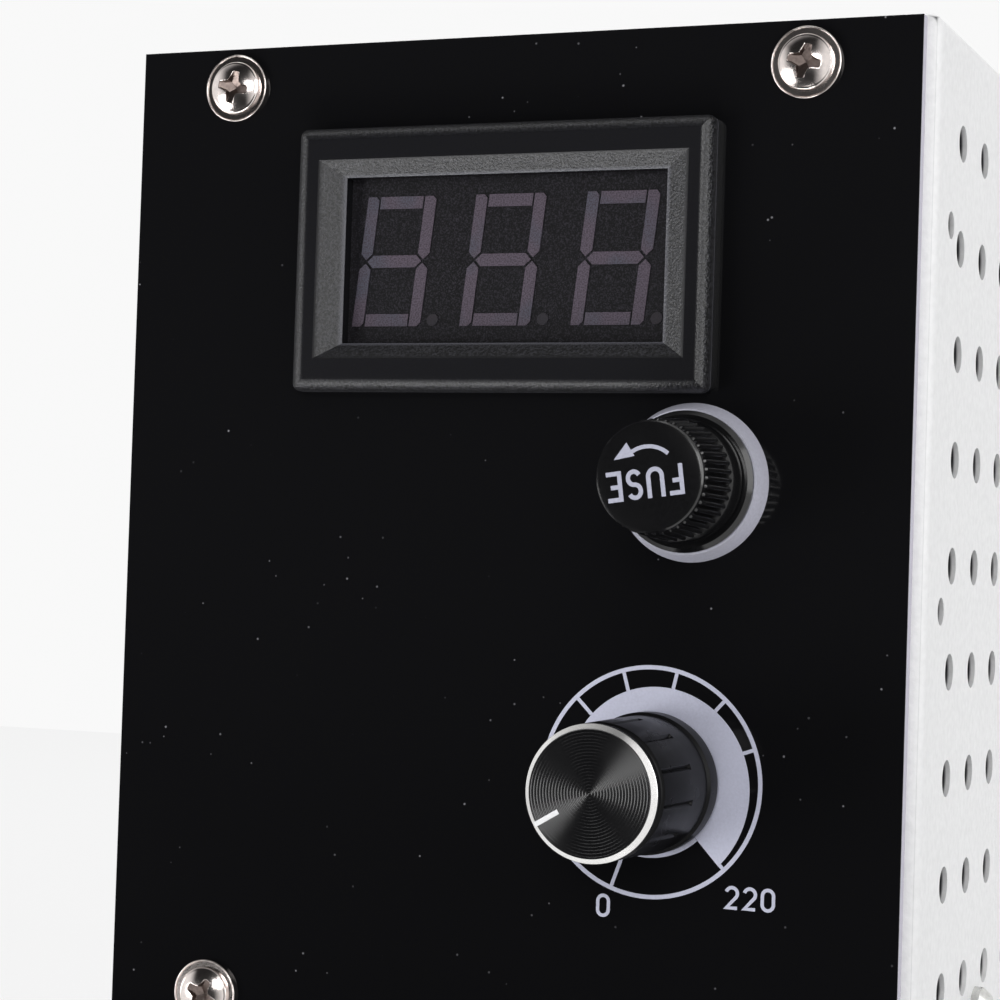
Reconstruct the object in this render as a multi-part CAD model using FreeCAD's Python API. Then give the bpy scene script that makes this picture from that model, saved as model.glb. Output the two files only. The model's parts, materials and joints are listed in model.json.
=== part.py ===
"""Benchtop reflow heater: a perforated sheet-steel case with a gloss black control panel, a panel meter,
a fuse holder and a rotary power control on its front, and a heated aluminium plate let into its top.

Millimetres, +Z up, the front faces -Y. The origin is the centre of the object's box on the bench.
"""

import FreeCAD, Part
import math
import os

from FreeCAD import Vector as V

# Case
CASE_W = 93.2
CASE_H = 112.0
CASE_D = 126.0
SHEET = 1.2
BEND_R = 1.6
FIT = 0.3
FRONT_FLANGE = 10.0
REAR_FLANGE = 9.0
TRAY_LIP = 12.0

# Perforation of the two sides
HOLE_D = 3.9
HOLE_PITCH = 11.2
HOLE_FIRST_Y = 12.2
HOLE_FIRST_Z = 11.8
TIE_HOLE_D = 2.9
TIE_HOLE_Y = 7.4
TIE_HOLE_DROPS = (21.1, 61.4)

# Front panel
PANEL_T = 1.5
PANEL_SIDE_GAP = 1.4
PANEL_TOP_GAP = 0.7
PANEL_SCREW_SIDE = 12.1
PANEL_SCREW_INSET = 4.5

# Panel meter
METER_DROP = 24.3
BEZEL_W = 48.0
BEZEL_H = 29.0
BEZEL_T = 2.6
BEZEL_EDGE_R = 0.9
RECESS_W = 42.8
RECESS_H = 21.9
RECESS_DEPTH = 1.6
WINDOW_W = 37.2
WINDOW_H = 18.3
METER_BODY_W = 45.0
METER_BODY_H = 26.2
METER_BODY_D = 18.0
METER_WALL = 1.4
METER_FRONT_WALL = 0.5
CLIP_H = 8.0
CLIP_D = 6.0
CLIP_REACH = 1.3
DISPLAY_W = 38.2
DISPLAY_H = 19.2
DISPLAY_D = 8.0
METER_BOARD_T = 1.6
DIGIT_H = 14.3
DIGIT_W = 8.2
DIGIT_PITCH = 12.9
DIGIT_LEAN = 6.2
DIGIT_SHIFT = -0.35
STROKE = 1.35
STROKE_GAP = 0.2
SEGMENT_T = 0.1

# Fuse holder
FUSE_X = 21.95
FUSE_DROP = 48.1
FUSE_WASHER_R = 8.35
FUSE_WASHER_TOP_R = 7.6
FUSE_WASHER_T = 2.1
FUSE_FLANGE_R = 7.4
FUSE_FLANGE_T = 0.9
FUSE_BARREL_R = 6.0
FUSE_BARREL_L = 30.0
FUSE_BORE_R = 4.3
FUSE_BORE_L = 26.0
FUSE_NUT_AF = 16.0
FUSE_NUT_T = 5.0
FUSE_CAP_REACH = 14.0
FUSE_CAP_R = 5.65
FUSE_COLLAR_R = 6.5
FUSE_COLLAR_L = 2.6
FUSE_RIBS = 32
FUSE_RIB_DEPTH = 0.35
FUSE_SPIGOT_R = 4.0
FUSE_SPIGOT_L = 7.0
FUSE_R = 2.6
FUSE_L = 20.0
FUSE_END_L = 5.0
FUSE_END_WALL = 0.3
FUSE_SEAT = 1.2
TAB_T = 0.8
TAB_W = 4.8
TAB_L = 9.0

# Power control: potentiometer and knob
DIAL_X = 18.55
DIAL_DROP = 79.5
KNOB_REACH = 19.0
KNOB_GAP = 0.6
KNOB_BASE_R = 7.4
KNOB_TOP_R = 6.9
KNOB_BASE_L = 2.0
KNOB_BEVEL = 0.55
KNOB_NECK_L = 2.1
KNOB_NECK_DEPTH = 0.3
KNOB_GRIP_EDGE = 0.3
KNOB_FLUTES = 12
KNOB_FLUTE_PHASE = 10.0
KNOB_FLUTE_W = 0.6
KNOB_FLUTE_DEPTH = 0.35
KNOB_FLUTE_L = 8.2
KNOB_WALL = 1.1
KNOB_FRONT_WALL = 1.4
KNOB_CORE_L = 11.5
SHAFT_R = 3.0
SHAFT_FIT = 0.1
BUSH_R = 3.6
BUSH_REACH = 5.5
POT_NUT_AF = 10.0
POT_NUT_T = 2.2
POT_R = 8.2
POT_D = 9.0
POT_TABS = 3
POT_TAB_PITCH = 5.0

# Screws, nuts and feet
M4_R = 1.95
M4_COLLAR_R = 3.95
M4_COLLAR_T = 0.9
M4_RIM_W = 0.5
M4_DOME_R = 3.05
M4_DOME_T = 1.7
M4_SHANK_L = 9.0
M4_NUT_AF = 7.0
M4_NUT_T = 3.2
M3_R = 1.5
M3_HEAD_R = 2.8
M3_HEAD_T = 1.8
M3_SHANK_L = 6.0
SCREW_FIT = 0.15
CROSS_W = 0.9
CROSS_SHARE = 0.56
CROSS_DEPTH = 1.1
REAR_SCREW_INSET_X = 4.6
REAR_SCREW_INSET_Z = 14.0
BASE_SCREW_Z = 6.0
BASE_SCREW_Y = 30.0
FOOT_H = 8.0
FOOT_TOP_R = 7.0
FOOT_BOTTOM_R = 6.0
FOOT_INSET_X = 12.0
FOOT_INSET_Y = 14.0
FOOT_COUNTERBORE = 4.0

# Hot plate and what carries it
PLATE_SIDE = 7.6
PLATE_T = 12.0
PLATE_PROUD = 4.0
PLATE_SETBACK = 27.0
PLATE_REAR = 9.0
PLATE_GAP = 2.0
PLATE_CORNER_R = 4.0
PLATE_CHAMFER = 1.0
CARTRIDGE_R = 3.0
CARTRIDGE_SHORT = 12.0
CARTRIDGE_X = 20.0
CARTRIDGE_RISE = 4.4
CARTRIDGE_STUB = 1.2
STANDOFF_R = 4.0
STANDOFF_L = 20.0
STANDOFF_INSET = 10.0
INSULATION_T = 8.0
INSULATION_MARGIN = 2.0
CUTOUT_R = 6.0
CUTOUT_T = 6.5
BRIDGE_SIDE = 6.6
BRIDGE_FOOT = 6.0
BRIDGE_FOOT_INSET = 18.0
BRIDGE_SCREW_INSET = 6.0

# Control board under the plate
BOARD_W = 60.0
BOARD_L = 64.0
BOARD_T = 1.6
BOARD_RISE = 8.0
BOARD_REAR = 26.0
BOARD_POST_R = 2.4
BOARD_POST_INSET = 4.0
SINK_W = 26.0
SINK_L = 34.0
SINK_H = 30.0
SINK_BASE = 3.0
SINK_FINS = 5
SINK_FIN_T = 1.6
TRIAC_W = 10.0
TRIAC_T = 4.4
TRIAC_H = 15.0
TRIAC_LEG_L = 4.0
TRIAC_LEG_W = 0.9
TRIAC_LEG_PITCH = 2.54
CAP_W = 10.0
CAP_L = 26.0
CAP_H = 18.0
BLOCK_WAYS = 4
BLOCK_PITCH = 7.5
BLOCK_D = 10.0
BLOCK_H = 14.0

# Mains inlet and power switch on the back
INLET_RISE = 28.0
INLET_FLANGE_W = 50.0
INLET_FLANGE_H = 24.0
INLET_FLANGE_T = 4.0
INLET_BODY_W = 27.0
INLET_BODY_H = 19.4
INLET_SOCKET_W = 24.0
INLET_SOCKET_H = 16.4
INLET_SOCKET_D = 16.0
INLET_SOCKET_CUT = 4.5
INLET_SCREW_X = 20.0
INLET_PIN_X = 7.0
INLET_PIN_W = 2.0
INLET_PIN_H = 4.0
INLET_PIN_L = 13.0
INLET_PIN_DROP = 2.0
INLET_EARTH_RISE = 4.0
INLET_TAIL_L = 8.0
ROCKER_RISE = 62.0
ROCKER_FRAME_W = 15.0
ROCKER_FRAME_H = 21.0
ROCKER_FRAME_T = 1.5
ROCKER_BODY_W = 12.6
ROCKER_BODY_H = 18.8
ROCKER_BODY_D = 16.0
ROCKER_WALL = 1.0
ROCKER_SINK = 0.4
ROCKER_TILT = 7.0
ROCKER_DISH = 5.0
ROCKER_DEPTH = 5.0
ROCKER_RUN = 0.3
ROCKER_PIN_R = 1.2
VENT_SLOTS = 7
VENT_SLOT_W = 36.0
VENT_SLOT_H = 2.4
VENT_PITCH = 4.2
VENT_RISE = 78.0

# Places that follow from the sizes
Z0 = FOOT_H
Z1 = FOOT_H + CASE_H
REAR_REACH = INLET_FLANGE_T - SHEET
Y_FRONT = -(CASE_D + REAR_REACH - PANEL_T - KNOB_REACH) / 2
Y_BACK = Y_FRONT + CASE_D
Y_PANEL = Y_FRONT - PANEL_T
Y_REAR_PANEL = Y_BACK - SHEET
PANEL_W = CASE_W - 2 * PANEL_SIDE_GAP
PANEL_Z0 = Z0 + PANEL_TOP_GAP
PANEL_Z1 = Z1 - PANEL_TOP_GAP
METER_Z = PANEL_Z1 - METER_DROP
FUSE_Z = PANEL_Z1 - FUSE_DROP
DIAL_Z = PANEL_Z1 - DIAL_DROP
INNER_X = CASE_W / 2 - SHEET
TRAY_X = INNER_X - FIT
TRAY_TOP = Z0 + SHEET
PLATE_W = CASE_W - 2 * PLATE_SIDE
PLATE_L = CASE_D - PLATE_SETBACK - PLATE_REAR
CARTRIDGE_L = PLATE_L - CARTRIDGE_SHORT
BRIDGE_W = CASE_W - 2 * BRIDGE_SIDE
PLATE_Y0 = Y_FRONT + PLATE_SETBACK
PLATE_Y1 = PLATE_Y0 + PLATE_L
PLATE_Z1 = Z1 + PLATE_PROUD
PLATE_Z0 = PLATE_Z1 - PLATE_T
BRIDGE_TOP = PLATE_Z0 - STANDOFF_L
BRIDGE_FOOT_Y0 = PLATE_Y0 + BRIDGE_FOOT_INSET
BRIDGE_FOOT_Y1 = PLATE_Y1 - BRIDGE_FOOT_INSET
BOARD_Z = TRAY_TOP + BOARD_RISE
BOARD_TOP = BOARD_Z + BOARD_T
BOARD_Y1 = Y_BACK - BOARD_REAR
BOARD_Y0 = BOARD_Y1 - BOARD_L
INLET_Z = Z0 + INLET_RISE
ROCKER_Z = Z0 + ROCKER_RISE
ROCKER_FACE_Y = Y_REAR_PANEL + ROCKER_FRAME_T
ALONG_Y = V(0, 1, 0)
SIDES = (-1, 1)
CORNERS = [(sx, sz) for sx in SIDES for sz in SIDES]


def box(x0, x1, y0, y1, z0, z1):
    """A block between two corners."""
    return Part.makeBox(x1 - x0, y1 - y0, z1 - z0, V(x0, y0, z0))


def centred(width, height, x, z, y0, y1):
    """A block of that width and height about (x, z), from y0 to y1."""
    return box(x - width / 2, x + width / 2, y0, y1, z - height / 2, z + height / 2)


def rod_y(radius, x, z, y0, y1):
    """A round bar along Y."""
    return Part.makeCylinder(radius, y1 - y0, V(x, y0, z), ALONG_Y)


def rod_x(radius, y, z, x0, x1):
    """A round bar along X."""
    return Part.makeCylinder(radius, x1 - x0, V(x0, y, z), V(1, 0, 0))


def rod_z(radius, x, y, z0, z1):
    """A round bar along Z."""
    return Part.makeCylinder(radius, z1 - z0, V(x, y, z0), V(0, 0, 1))


def hexagon_y(across_flats, x, z, y0, y1):
    """A hexagonal bar along Y."""
    corner = across_flats / 2 / math.cos(math.pi / 6)
    turns = [i * math.pi / 3 for i in range(7)]
    points = [V(x + corner * math.cos(t), y0, z + corner * math.sin(t)) for t in turns]
    return Part.Face(Part.makePolygon(points)).extrude(V(0, y1 - y0, 0))


def turned_y(profile, x, z, y):
    """A turned piece: profile holds (radius, forward reach) points, with forward along -Y from y."""
    points = [V(x + radius, y - reach, z) for radius, reach in profile]
    face = Part.Face(Part.makePolygon(points + points[:1]))
    return face.revolve(V(x, y, z), ALONG_Y, 360)


def prism_y(outline, y0, y1):
    """The outline's (x, z) points carried from y0 to y1."""
    points = [V(x, y0, z) for x, z in outline]
    return Part.Face(Part.makePolygon(points + points[:1])).extrude(V(0, y1 - y0, 0))


def prism_x(outline, x0, x1):
    """The outline's (y, z) points carried from x0 to x1."""
    points = [V(x0, y, z) for y, z in outline]
    return Part.Face(Part.makePolygon(points + points[:1])).extrude(V(x1 - x0, 0, 0))


def frame_taper(width0, height0, y0, width1, height1, y1, x, z):
    """A straight loft between two rectangles about (x, z), the first at y0 and the second at y1."""
    wires = []
    for width, height, y in ((width0, height0, y0), (width1, height1, y1)):
        corners = [(-1, -1), (1, -1), (1, 1), (-1, 1), (-1, -1)]
        points = [V(x + sx * width / 2, y, z + sz * height / 2) for sx, sz in corners]
        wires.append(Part.makePolygon(points))
    return Part.makeLoft(wires, True, True)


def edges_along(shape, axis, test):
    """The straight edges of a shape that run along an axis and pass the test on their middle point."""
    found = []
    for edge in shape.Edges:
        if not isinstance(edge.Curve, (Part.Line, Part.LineSegment)):
            continue
        run = edge.Vertexes[1].Point - edge.Vertexes[0].Point
        if abs(abs(run.normalize().dot(axis)) - 1) < 1e-6 and test(edge.CenterOfMass):
            found.append(edge)
    return found


def joined(shapes):
    """Shapes that meet, as one solid."""
    return shapes[0].fuse(shapes[1:]).removeSplitter()


def group(shapes):
    """Separate solids that share a node."""
    return Part.makeCompound(shapes)


def perforation_rows():
    """How many rows of holes the case's height takes."""
    return int((CASE_H - HOLE_FIRST_Z - HOLE_D) // HOLE_PITCH) + 1


def perforation_columns():
    """How many columns of holes the case's depth takes."""
    return int((CASE_D - 2 * HOLE_FIRST_Y) // HOLE_PITCH) + 1


def panel_screw_places():
    """The front panel's four screws, as (x, z)."""
    middle = (PANEL_Z0 + PANEL_Z1) / 2
    rise = (PANEL_Z1 - PANEL_Z0) / 2 - PANEL_SCREW_INSET
    reach = PANEL_W / 2 - PANEL_SCREW_SIDE
    return [(sx * reach, middle + sz * rise) for sx, sz in CORNERS]


def rear_screw_places():
    """The rear panel's four screws, as (x, z)."""
    middle = (Z0 + Z1) / 2
    rise = CASE_H / 2 - REAR_SCREW_INSET_Z
    return [(sx * (CASE_W / 2 - REAR_SCREW_INSET_X), middle + sz * rise) for sx, sz in CORNERS]


def foot_places():
    """The four feet, as (x, y)."""
    middle = (Y_FRONT + Y_BACK) / 2
    reach = CASE_D / 2 - FOOT_INSET_Y
    return [(sx * (CASE_W / 2 - FOOT_INSET_X), middle + sy * reach) for sx, sy in CORNERS]


def base_screw_places():
    """Where screws hold the tray to each side of the case, as (y, z)."""
    return [(y, Z0 + BASE_SCREW_Z) for y in (Y_FRONT + BASE_SCREW_Y, Y_BACK - BASE_SCREW_Y)]


def standoff_places():
    """The posts under the hot plate, as (x, y)."""
    middle = (PLATE_Y0 + PLATE_Y1) / 2
    reach = PLATE_L / 2 - STANDOFF_INSET
    return [(sx * (PLATE_W / 2 - STANDOFF_INSET), middle + sy * reach) for sx, sy in CORNERS]


def board_post_places():
    """The posts under the control board, as (x, y)."""
    middle = (BOARD_Y0 + BOARD_Y1) / 2
    reach = BOARD_L / 2 - BOARD_POST_INSET
    return [(sx * (BOARD_W / 2 - BOARD_POST_INSET), middle + sy * reach) for sx, sy in CORNERS]


def bridge_screw_places():
    """The screws through the bridge's feet, as (x, y)."""
    x = BRIDGE_W / 2 - SHEET - BRIDGE_FOOT / 2
    ends = (BRIDGE_FOOT_Y0 + BRIDGE_SCREW_INSET, BRIDGE_FOOT_Y1 - BRIDGE_SCREW_INSET)
    return [(sx * x, y) for sx in SIDES for y in ends]


def cross_recess(x, z, y_tip, head_r):
    """The cutter of a cross recess in a screw head whose crown is at y_tip."""
    span = head_r * 2 * CROSS_SHARE
    bottom = y_tip + CROSS_DEPTH
    bars = [
        frame_taper(span, CROSS_W, y_tip - 1, span / 2, CROSS_W / 2, bottom, x, z),
        frame_taper(CROSS_W, span, y_tip - 1, CROSS_W / 2, span / 2, bottom, x, z),
    ]
    return joined(bars)


def dome_y(radius, height, x, z, y):
    """A screw head's crown, part of a ball, standing on y and swelling along -Y."""
    ball_r = (radius**2 + height**2) / (2 * height)
    half_turn = math.asin(min(1, radius / ball_r)) / 2
    crown, centre, rim = V(x, y - height, z), V(x, y, z), V(x + radius, y, z)
    middle = V(x + ball_r * math.sin(half_turn), y - height + ball_r * (1 - math.cos(half_turn)), z)
    arc = Part.Arc(crown, middle, rim).toShape()
    outline = [arc, Part.LineSegment(rim, centre).toShape(), Part.LineSegment(centre, crown).toShape()]
    return Part.Face(Part.Wire(outline)).revolve(centre, ALONG_Y, 360)


def collar_screw(x, z, y):
    """A cross-head screw with a rolled collar, seated on the plane y and facing -Y."""
    rim_in = M4_COLLAR_R - M4_RIM_W
    top = M4_COLLAR_T + M4_DOME_T / 3
    profile = [
        (0, top), (M4_DOME_R, top), (M4_DOME_R, M4_COLLAR_T / 2), (rim_in, M4_COLLAR_T / 2),
        (rim_in + M4_RIM_W / 4, M4_COLLAR_T), (M4_COLLAR_R - M4_RIM_W / 4, M4_COLLAR_T),
        (M4_COLLAR_R, M4_COLLAR_T * 2 / 3), (M4_COLLAR_R, 0), (M4_R, 0),
        (M4_R, -M4_SHANK_L), (0, -M4_SHANK_L),
    ]
    stem = turned_y(profile, x, z, y)
    crown = dome_y(M4_DOME_R, M4_DOME_T * 2 / 3, x, z, y - top)
    return joined([stem, crown]).cut(cross_recess(x, z, y - M4_COLLAR_T - M4_DOME_T, M4_DOME_R))


def pan_screw(length):
    """A small pan-head screw with its head's seat at the origin and its head along -Y."""
    crown_r, half = M3_HEAD_R * 0.7, M3_HEAD_T / 2
    profile = [(0, M3_HEAD_T), (crown_r, M3_HEAD_T), (M3_HEAD_R, half), (M3_HEAD_R, 0),
               (M3_R, 0), (M3_R, -length), (0, -length)]
    return turned_y(profile, 0, 0, 0).cut(cross_recess(0, 0, -M3_HEAD_T, M3_HEAD_R))


def placed(shape, axis, angle, place):
    """A copy of a shape turned about the origin and then moved."""
    moved = shape.copy()
    moved.rotate(V(0, 0, 0), axis, angle)
    moved.translate(place)
    return moved


def shell():
    """Top and sides of the case, folded from one sheet, with flanges turned in at the front and the back."""
    outer = box(-CASE_W / 2, CASE_W / 2, Y_FRONT, Y_BACK, Z0, Z1)
    folds = edges_along(outer, V(0, 0, 1), lambda p: True)
    folds += edges_along(outer, ALONG_Y, lambda p: p.z > Z0 + SHEET)
    folds += edges_along(outer, V(1, 0, 0), lambda p: p.z > Z0 + SHEET)
    outer = outer.makeFillet(BEND_R, folds)
    inside = box(-INNER_X, INNER_X, Y_FRONT + SHEET, Y_BACK - SHEET, Z0 - 1, Z1 - SHEET)
    sheet = outer.cut(inside)
    front_x = CASE_W / 2 - FRONT_FLANGE
    rear_x = CASE_W / 2 - REAR_FLANGE
    plate_x = PLATE_W / 2 + PLATE_GAP
    holes = [
        box(-front_x, front_x, Y_FRONT - 1, Y_FRONT + SHEET + 1, Z0 - 1, Z1 - FRONT_FLANGE),
        box(-rear_x, rear_x, Y_BACK - SHEET - 1, Y_BACK + 1, Z0 - 1, Z1 - REAR_FLANGE),
        box(-plate_x, plate_x, PLATE_Y0 - PLATE_GAP, PLATE_Y1 + PLATE_GAP, Z1 - SHEET - 1, Z1 + 1),
    ]
    reach = CASE_W / 2 + 1
    for row in range(perforation_rows()):
        for column in range(perforation_columns()):
            y = Y_FRONT + HOLE_FIRST_Y + column * HOLE_PITCH
            z = Z1 - HOLE_FIRST_Z - row * HOLE_PITCH
            holes.append(rod_x(HOLE_D / 2, y, z, -reach, reach))
    for drop in TIE_HOLE_DROPS:
        holes.append(rod_x(TIE_HOLE_D / 2, Y_FRONT + TIE_HOLE_Y, Z1 - drop, -reach, reach))
    for y, z in base_screw_places():
        holes.append(rod_x(M3_R + SCREW_FIT, y, z, -reach, reach))
    for x, z in panel_screw_places():
        if z > METER_Z:
            holes.append(rod_y(M4_R + SCREW_FIT, x, z, Y_FRONT - 1, Y_FRONT + SHEET + 1))
    for x, z in rear_screw_places():
        holes.append(rod_y(M3_R + SCREW_FIT, x, z, Y_BACK - SHEET - 1, Y_BACK + 1))
    return sheet.cut(holes)


def base_tray():
    """Bottom of the case: a floor with a front lip for the panel's lower screws and a lip each side."""
    front_x = CASE_W / 2 - FRONT_FLANGE - FIT
    floor_y0 = Y_FRONT + SHEET + FIT
    pieces = [
        box(-TRAY_X, TRAY_X, floor_y0, Y_REAR_PANEL - SHEET - FIT, Z0, TRAY_TOP),
        box(-front_x, front_x, Y_FRONT, floor_y0, Z0, TRAY_TOP),
        box(-front_x, front_x, Y_FRONT, Y_FRONT + SHEET, Z0, Z0 + TRAY_LIP),
    ]
    lip_y0 = Y_FRONT + BASE_SCREW_Y / 2
    lip_y1 = Y_BACK - BASE_SCREW_Y / 2
    for side in SIDES:
        x = side * (TRAY_X - SHEET / 2)
        pieces.append(box(x - SHEET / 2, x + SHEET / 2, lip_y0, lip_y1, Z0, Z0 + TRAY_LIP))
    tray = joined(pieces)
    holes = [rod_z(M3_R + SCREW_FIT, x, y, Z0 - 1, TRAY_TOP + 1) for x, y in foot_places()]
    holes += [rod_z(M3_R + SCREW_FIT, x, y, Z0 - 1, TRAY_TOP + 1) for x, y in bridge_screw_places()]
    holes += [rod_x(M3_R + SCREW_FIT, y, z, -CASE_W / 2, CASE_W / 2) for y, z in base_screw_places()]
    for x, z in panel_screw_places():
        holes.append(rod_y(M4_R + SCREW_FIT, x, z, Y_FRONT - 1, Y_FRONT + SHEET + 1))
    return tray.cut(holes)


def rear_panel():
    """Flat back of the case, behind the rear flanges, cut for the inlet, the switch and the vent slots."""
    plate = box(-TRAY_X, TRAY_X, Y_REAR_PANEL - SHEET, Y_REAR_PANEL, Z0, Z1 - SHEET - FIT)
    y0, y1 = Y_REAR_PANEL - SHEET - 1, Y_REAR_PANEL + 1
    cuts = [
        centred(INLET_BODY_W + 2 * FIT, INLET_BODY_H + 2 * FIT, 0, INLET_Z, y0, y1),
        centred(ROCKER_BODY_W + 2 * FIT, ROCKER_BODY_H + 2 * FIT, 0, ROCKER_Z, y0, y1),
    ]
    for side in SIDES:
        cuts.append(rod_y(M3_R + SCREW_FIT, side * INLET_SCREW_X, INLET_Z, y0, y1))
    for x, z in rear_screw_places():
        cuts.append(rod_y(M3_R + SCREW_FIT, x, z, y0, y1))
    for slot in range(VENT_SLOTS):
        z = Z0 + VENT_RISE + slot * VENT_PITCH
        cuts.append(vent_slot(z, y0, y1))
    return plate.cut(cuts)


def vent_slot(z, y0, y1):
    """A slot with round ends, lying along X."""
    straight = VENT_SLOT_W / 2 - VENT_SLOT_H / 2
    bar = centred(2 * straight, VENT_SLOT_H, 0, z, y0, y1)
    ends = [rod_y(VENT_SLOT_H / 2, side * straight, z, y0, y1) for side in SIDES]
    return joined([bar] + ends)


def front_panel():
    """Gloss acrylic sheet over the front, cut for the meter, the fuse holder, the control and its screws."""
    sheet = box(-PANEL_W / 2, PANEL_W / 2, Y_PANEL, Y_FRONT, PANEL_Z0, PANEL_Z1)
    y0, y1 = Y_PANEL - 1, Y_FRONT + 1
    cuts = [
        centred(METER_BODY_W + 2 * FIT, METER_BODY_H + 2 * FIT, 0, METER_Z, y0, y1),
        rod_y(FUSE_BARREL_R + FIT, FUSE_X, FUSE_Z, y0, y1),
        rod_y(BUSH_R + FIT, DIAL_X, DIAL_Z, y0, y1),
    ]
    cuts += [rod_y(M4_R + SCREW_FIT, x, z, y0, y1) for x, z in panel_screw_places()]
    return sheet.cut(cuts)


def panel_screws():
    """The four collar screws that hold the front panel."""
    return group([collar_screw(x, z, Y_PANEL) for x, z in panel_screw_places()])


def panel_nuts():
    """The nuts behind the flanges, on the panel screws."""
    nuts = []
    y0 = Y_FRONT + SHEET
    for x, z in panel_screw_places():
        nut = hexagon_y(M4_NUT_AF, x, z, y0, y0 + M4_NUT_T)
        nuts.append(nut.cut(rod_y(M4_R + SCREW_FIT, x, z, y0 - 1, y0 + M4_NUT_T + 1)))
    return group(nuts)


def base_screws():
    """The four screws through the sides into the tray's lips."""
    screw = pan_screw(M3_SHANK_L)
    screws = []
    for y, z in base_screw_places():
        screws.append(placed(screw, V(0, 0, 1), 90, V(CASE_W / 2, y, z)))
        screws.append(placed(screw, V(0, 0, 1), -90, V(-CASE_W / 2, y, z)))
    return group(screws)


def rear_screws():
    """The four screws through the rear flanges into the rear panel."""
    screw = pan_screw(M3_SHANK_L)
    return group([placed(screw, V(0, 0, 1), 180, V(x, Y_BACK, z)) for x, z in rear_screw_places()])


def rubber_feet():
    """Four tapered feet with a counterbore for their screws."""
    feet = []
    for x, y in foot_places():
        foot = Part.makeCone(FOOT_BOTTOM_R, FOOT_TOP_R, FOOT_H, V(x, y, 0))
        bore = rod_z(M3_R + SCREW_FIT, x, y, -1, FOOT_H + 1)
        sink = rod_z(M3_HEAD_R + FIT, x, y, -1, FOOT_COUNTERBORE)
        feet.append(foot.cut([bore, sink]))
    return group(feet)


def foot_screws():
    """The screws up through the feet into the tray."""
    screw = pan_screw(FOOT_H - FOOT_COUNTERBORE + SHEET + M3_HEAD_T)
    return group([placed(screw, V(1, 0, 0), 90, V(x, y, FOOT_COUNTERBORE)) for x, y in foot_places()])


def meter_housing():
    """Moulded meter case: a bezel with a sloped recess round its window, a tube behind and two snap clips."""
    flange = centred(BEZEL_W, BEZEL_H, 0, METER_Z, Y_PANEL - BEZEL_T, Y_PANEL)
    outer = [edge for edge in flange.Edges if edge.CenterOfMass.y < Y_PANEL - BEZEL_T / 4]
    flange = flange.makeFillet(BEZEL_EDGE_R, outer)
    body = centred(METER_BODY_W, METER_BODY_H, 0, METER_Z, Y_PANEL, Y_PANEL + METER_BODY_D)
    case = joined([flange, body])
    front = Y_PANEL - BEZEL_T
    floor = front + RECESS_DEPTH
    slope = frame_taper(RECESS_W, RECESS_H, front, WINDOW_W, WINDOW_H, floor, 0, METER_Z)
    window = centred(WINDOW_W, WINDOW_H, 0, METER_Z, front - 1, Y_PANEL + METER_FRONT_WALL)
    hollow_w = METER_BODY_W - 2 * METER_WALL
    hollow_h = METER_BODY_H - 2 * METER_WALL
    hollow_y0 = Y_PANEL + METER_FRONT_WALL
    hollow = centred(hollow_w, hollow_h, 0, METER_Z, hollow_y0, Y_PANEL + METER_BODY_D + 1)
    case = case.cut([slope, window, hollow])
    clips = []
    for side in SIDES:
        root = side * METER_BODY_W / 2
        tip = root + side * CLIP_REACH
        y0 = Y_FRONT + SCREW_FIT
        outline = [V(root, y0, 0), V(tip, y0, 0), V(root, y0 + CLIP_D, 0), V(root, y0, 0)]
        clip = Part.Face(Part.makePolygon(outline)).extrude(V(0, 0, CLIP_H))
        clip.translate(V(0, 0, METER_Z - CLIP_H / 2))
        clips.append(clip)
    return joined([case] + clips)


def meter_display():
    """The three-digit light-emitting display block behind the window."""
    y0 = Y_PANEL + METER_FRONT_WALL
    return centred(DISPLAY_W, DISPLAY_H, 0, METER_Z, y0, y0 + DISPLAY_D)


def segment_outlines():
    """The seven bars and the point of one digit, as (x, z) outlines about the digit's centre, upright."""
    half_w, half_h = DIGIT_W / 2 - STROKE / 2, DIGIT_H / 2 - STROKE / 2
    half = STROKE / 2
    inset = half + STROKE_GAP
    bars = []
    for z in (half_h, -half_h):
        bars.append([(-half_w + inset, z - half), (half_w - inset, z - half),
                     (half_w - inset, z + half), (-half_w + inset, z + half)])
    tip = half_w - STROKE_GAP
    shoulder = tip - half
    bars.append([(-tip, 0), (-shoulder, -half), (shoulder, -half),
                 (tip, 0), (shoulder, half), (-shoulder, half)])
    for side in SIDES:
        x = side * half_w
        for up in SIDES:
            low, high = up * STROKE_GAP, up * (half_h + half)
            waist = up * (STROKE_GAP + half)
            bars.append([(x, low), (x + half, waist), (x + half, high - up * half * 0.6),
                         (x + half * 0.4, high), (x - half, high), (x - half, waist)])
    point_x = half_w + STROKE * 1.55
    turns = [i * math.pi / 5 for i in range(10)]
    bars.append([(point_x + half * math.cos(t), -half_h + half * math.sin(t)) for t in turns])
    return bars


def display_segments():
    """The bars and points of the three leaning digits, as thin windows on the display's face."""
    face = Y_PANEL + METER_FRONT_WALL
    lean = math.tan(math.radians(DIGIT_LEAN))
    solids = []
    for digit in (-1, 0, 1):
        for outline in segment_outlines():
            shift = DIGIT_SHIFT + digit * DIGIT_PITCH
            leaning = [(x + lean * z + shift, z + METER_Z) for x, z in outline]
            solids.append(prism_y(leaning, face - SEGMENT_T, face))
    return group(solids)


def meter_board():
    """The meter's circuit board behind the display block."""
    width = METER_BODY_W - 2 * METER_WALL - 2 * SCREW_FIT
    height = METER_BODY_H - 2 * METER_WALL - 2 * SCREW_FIT
    y0 = Y_PANEL + METER_FRONT_WALL + DISPLAY_D
    return centred(width, height, 0, METER_Z, y0, y0 + METER_BOARD_T)


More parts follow.
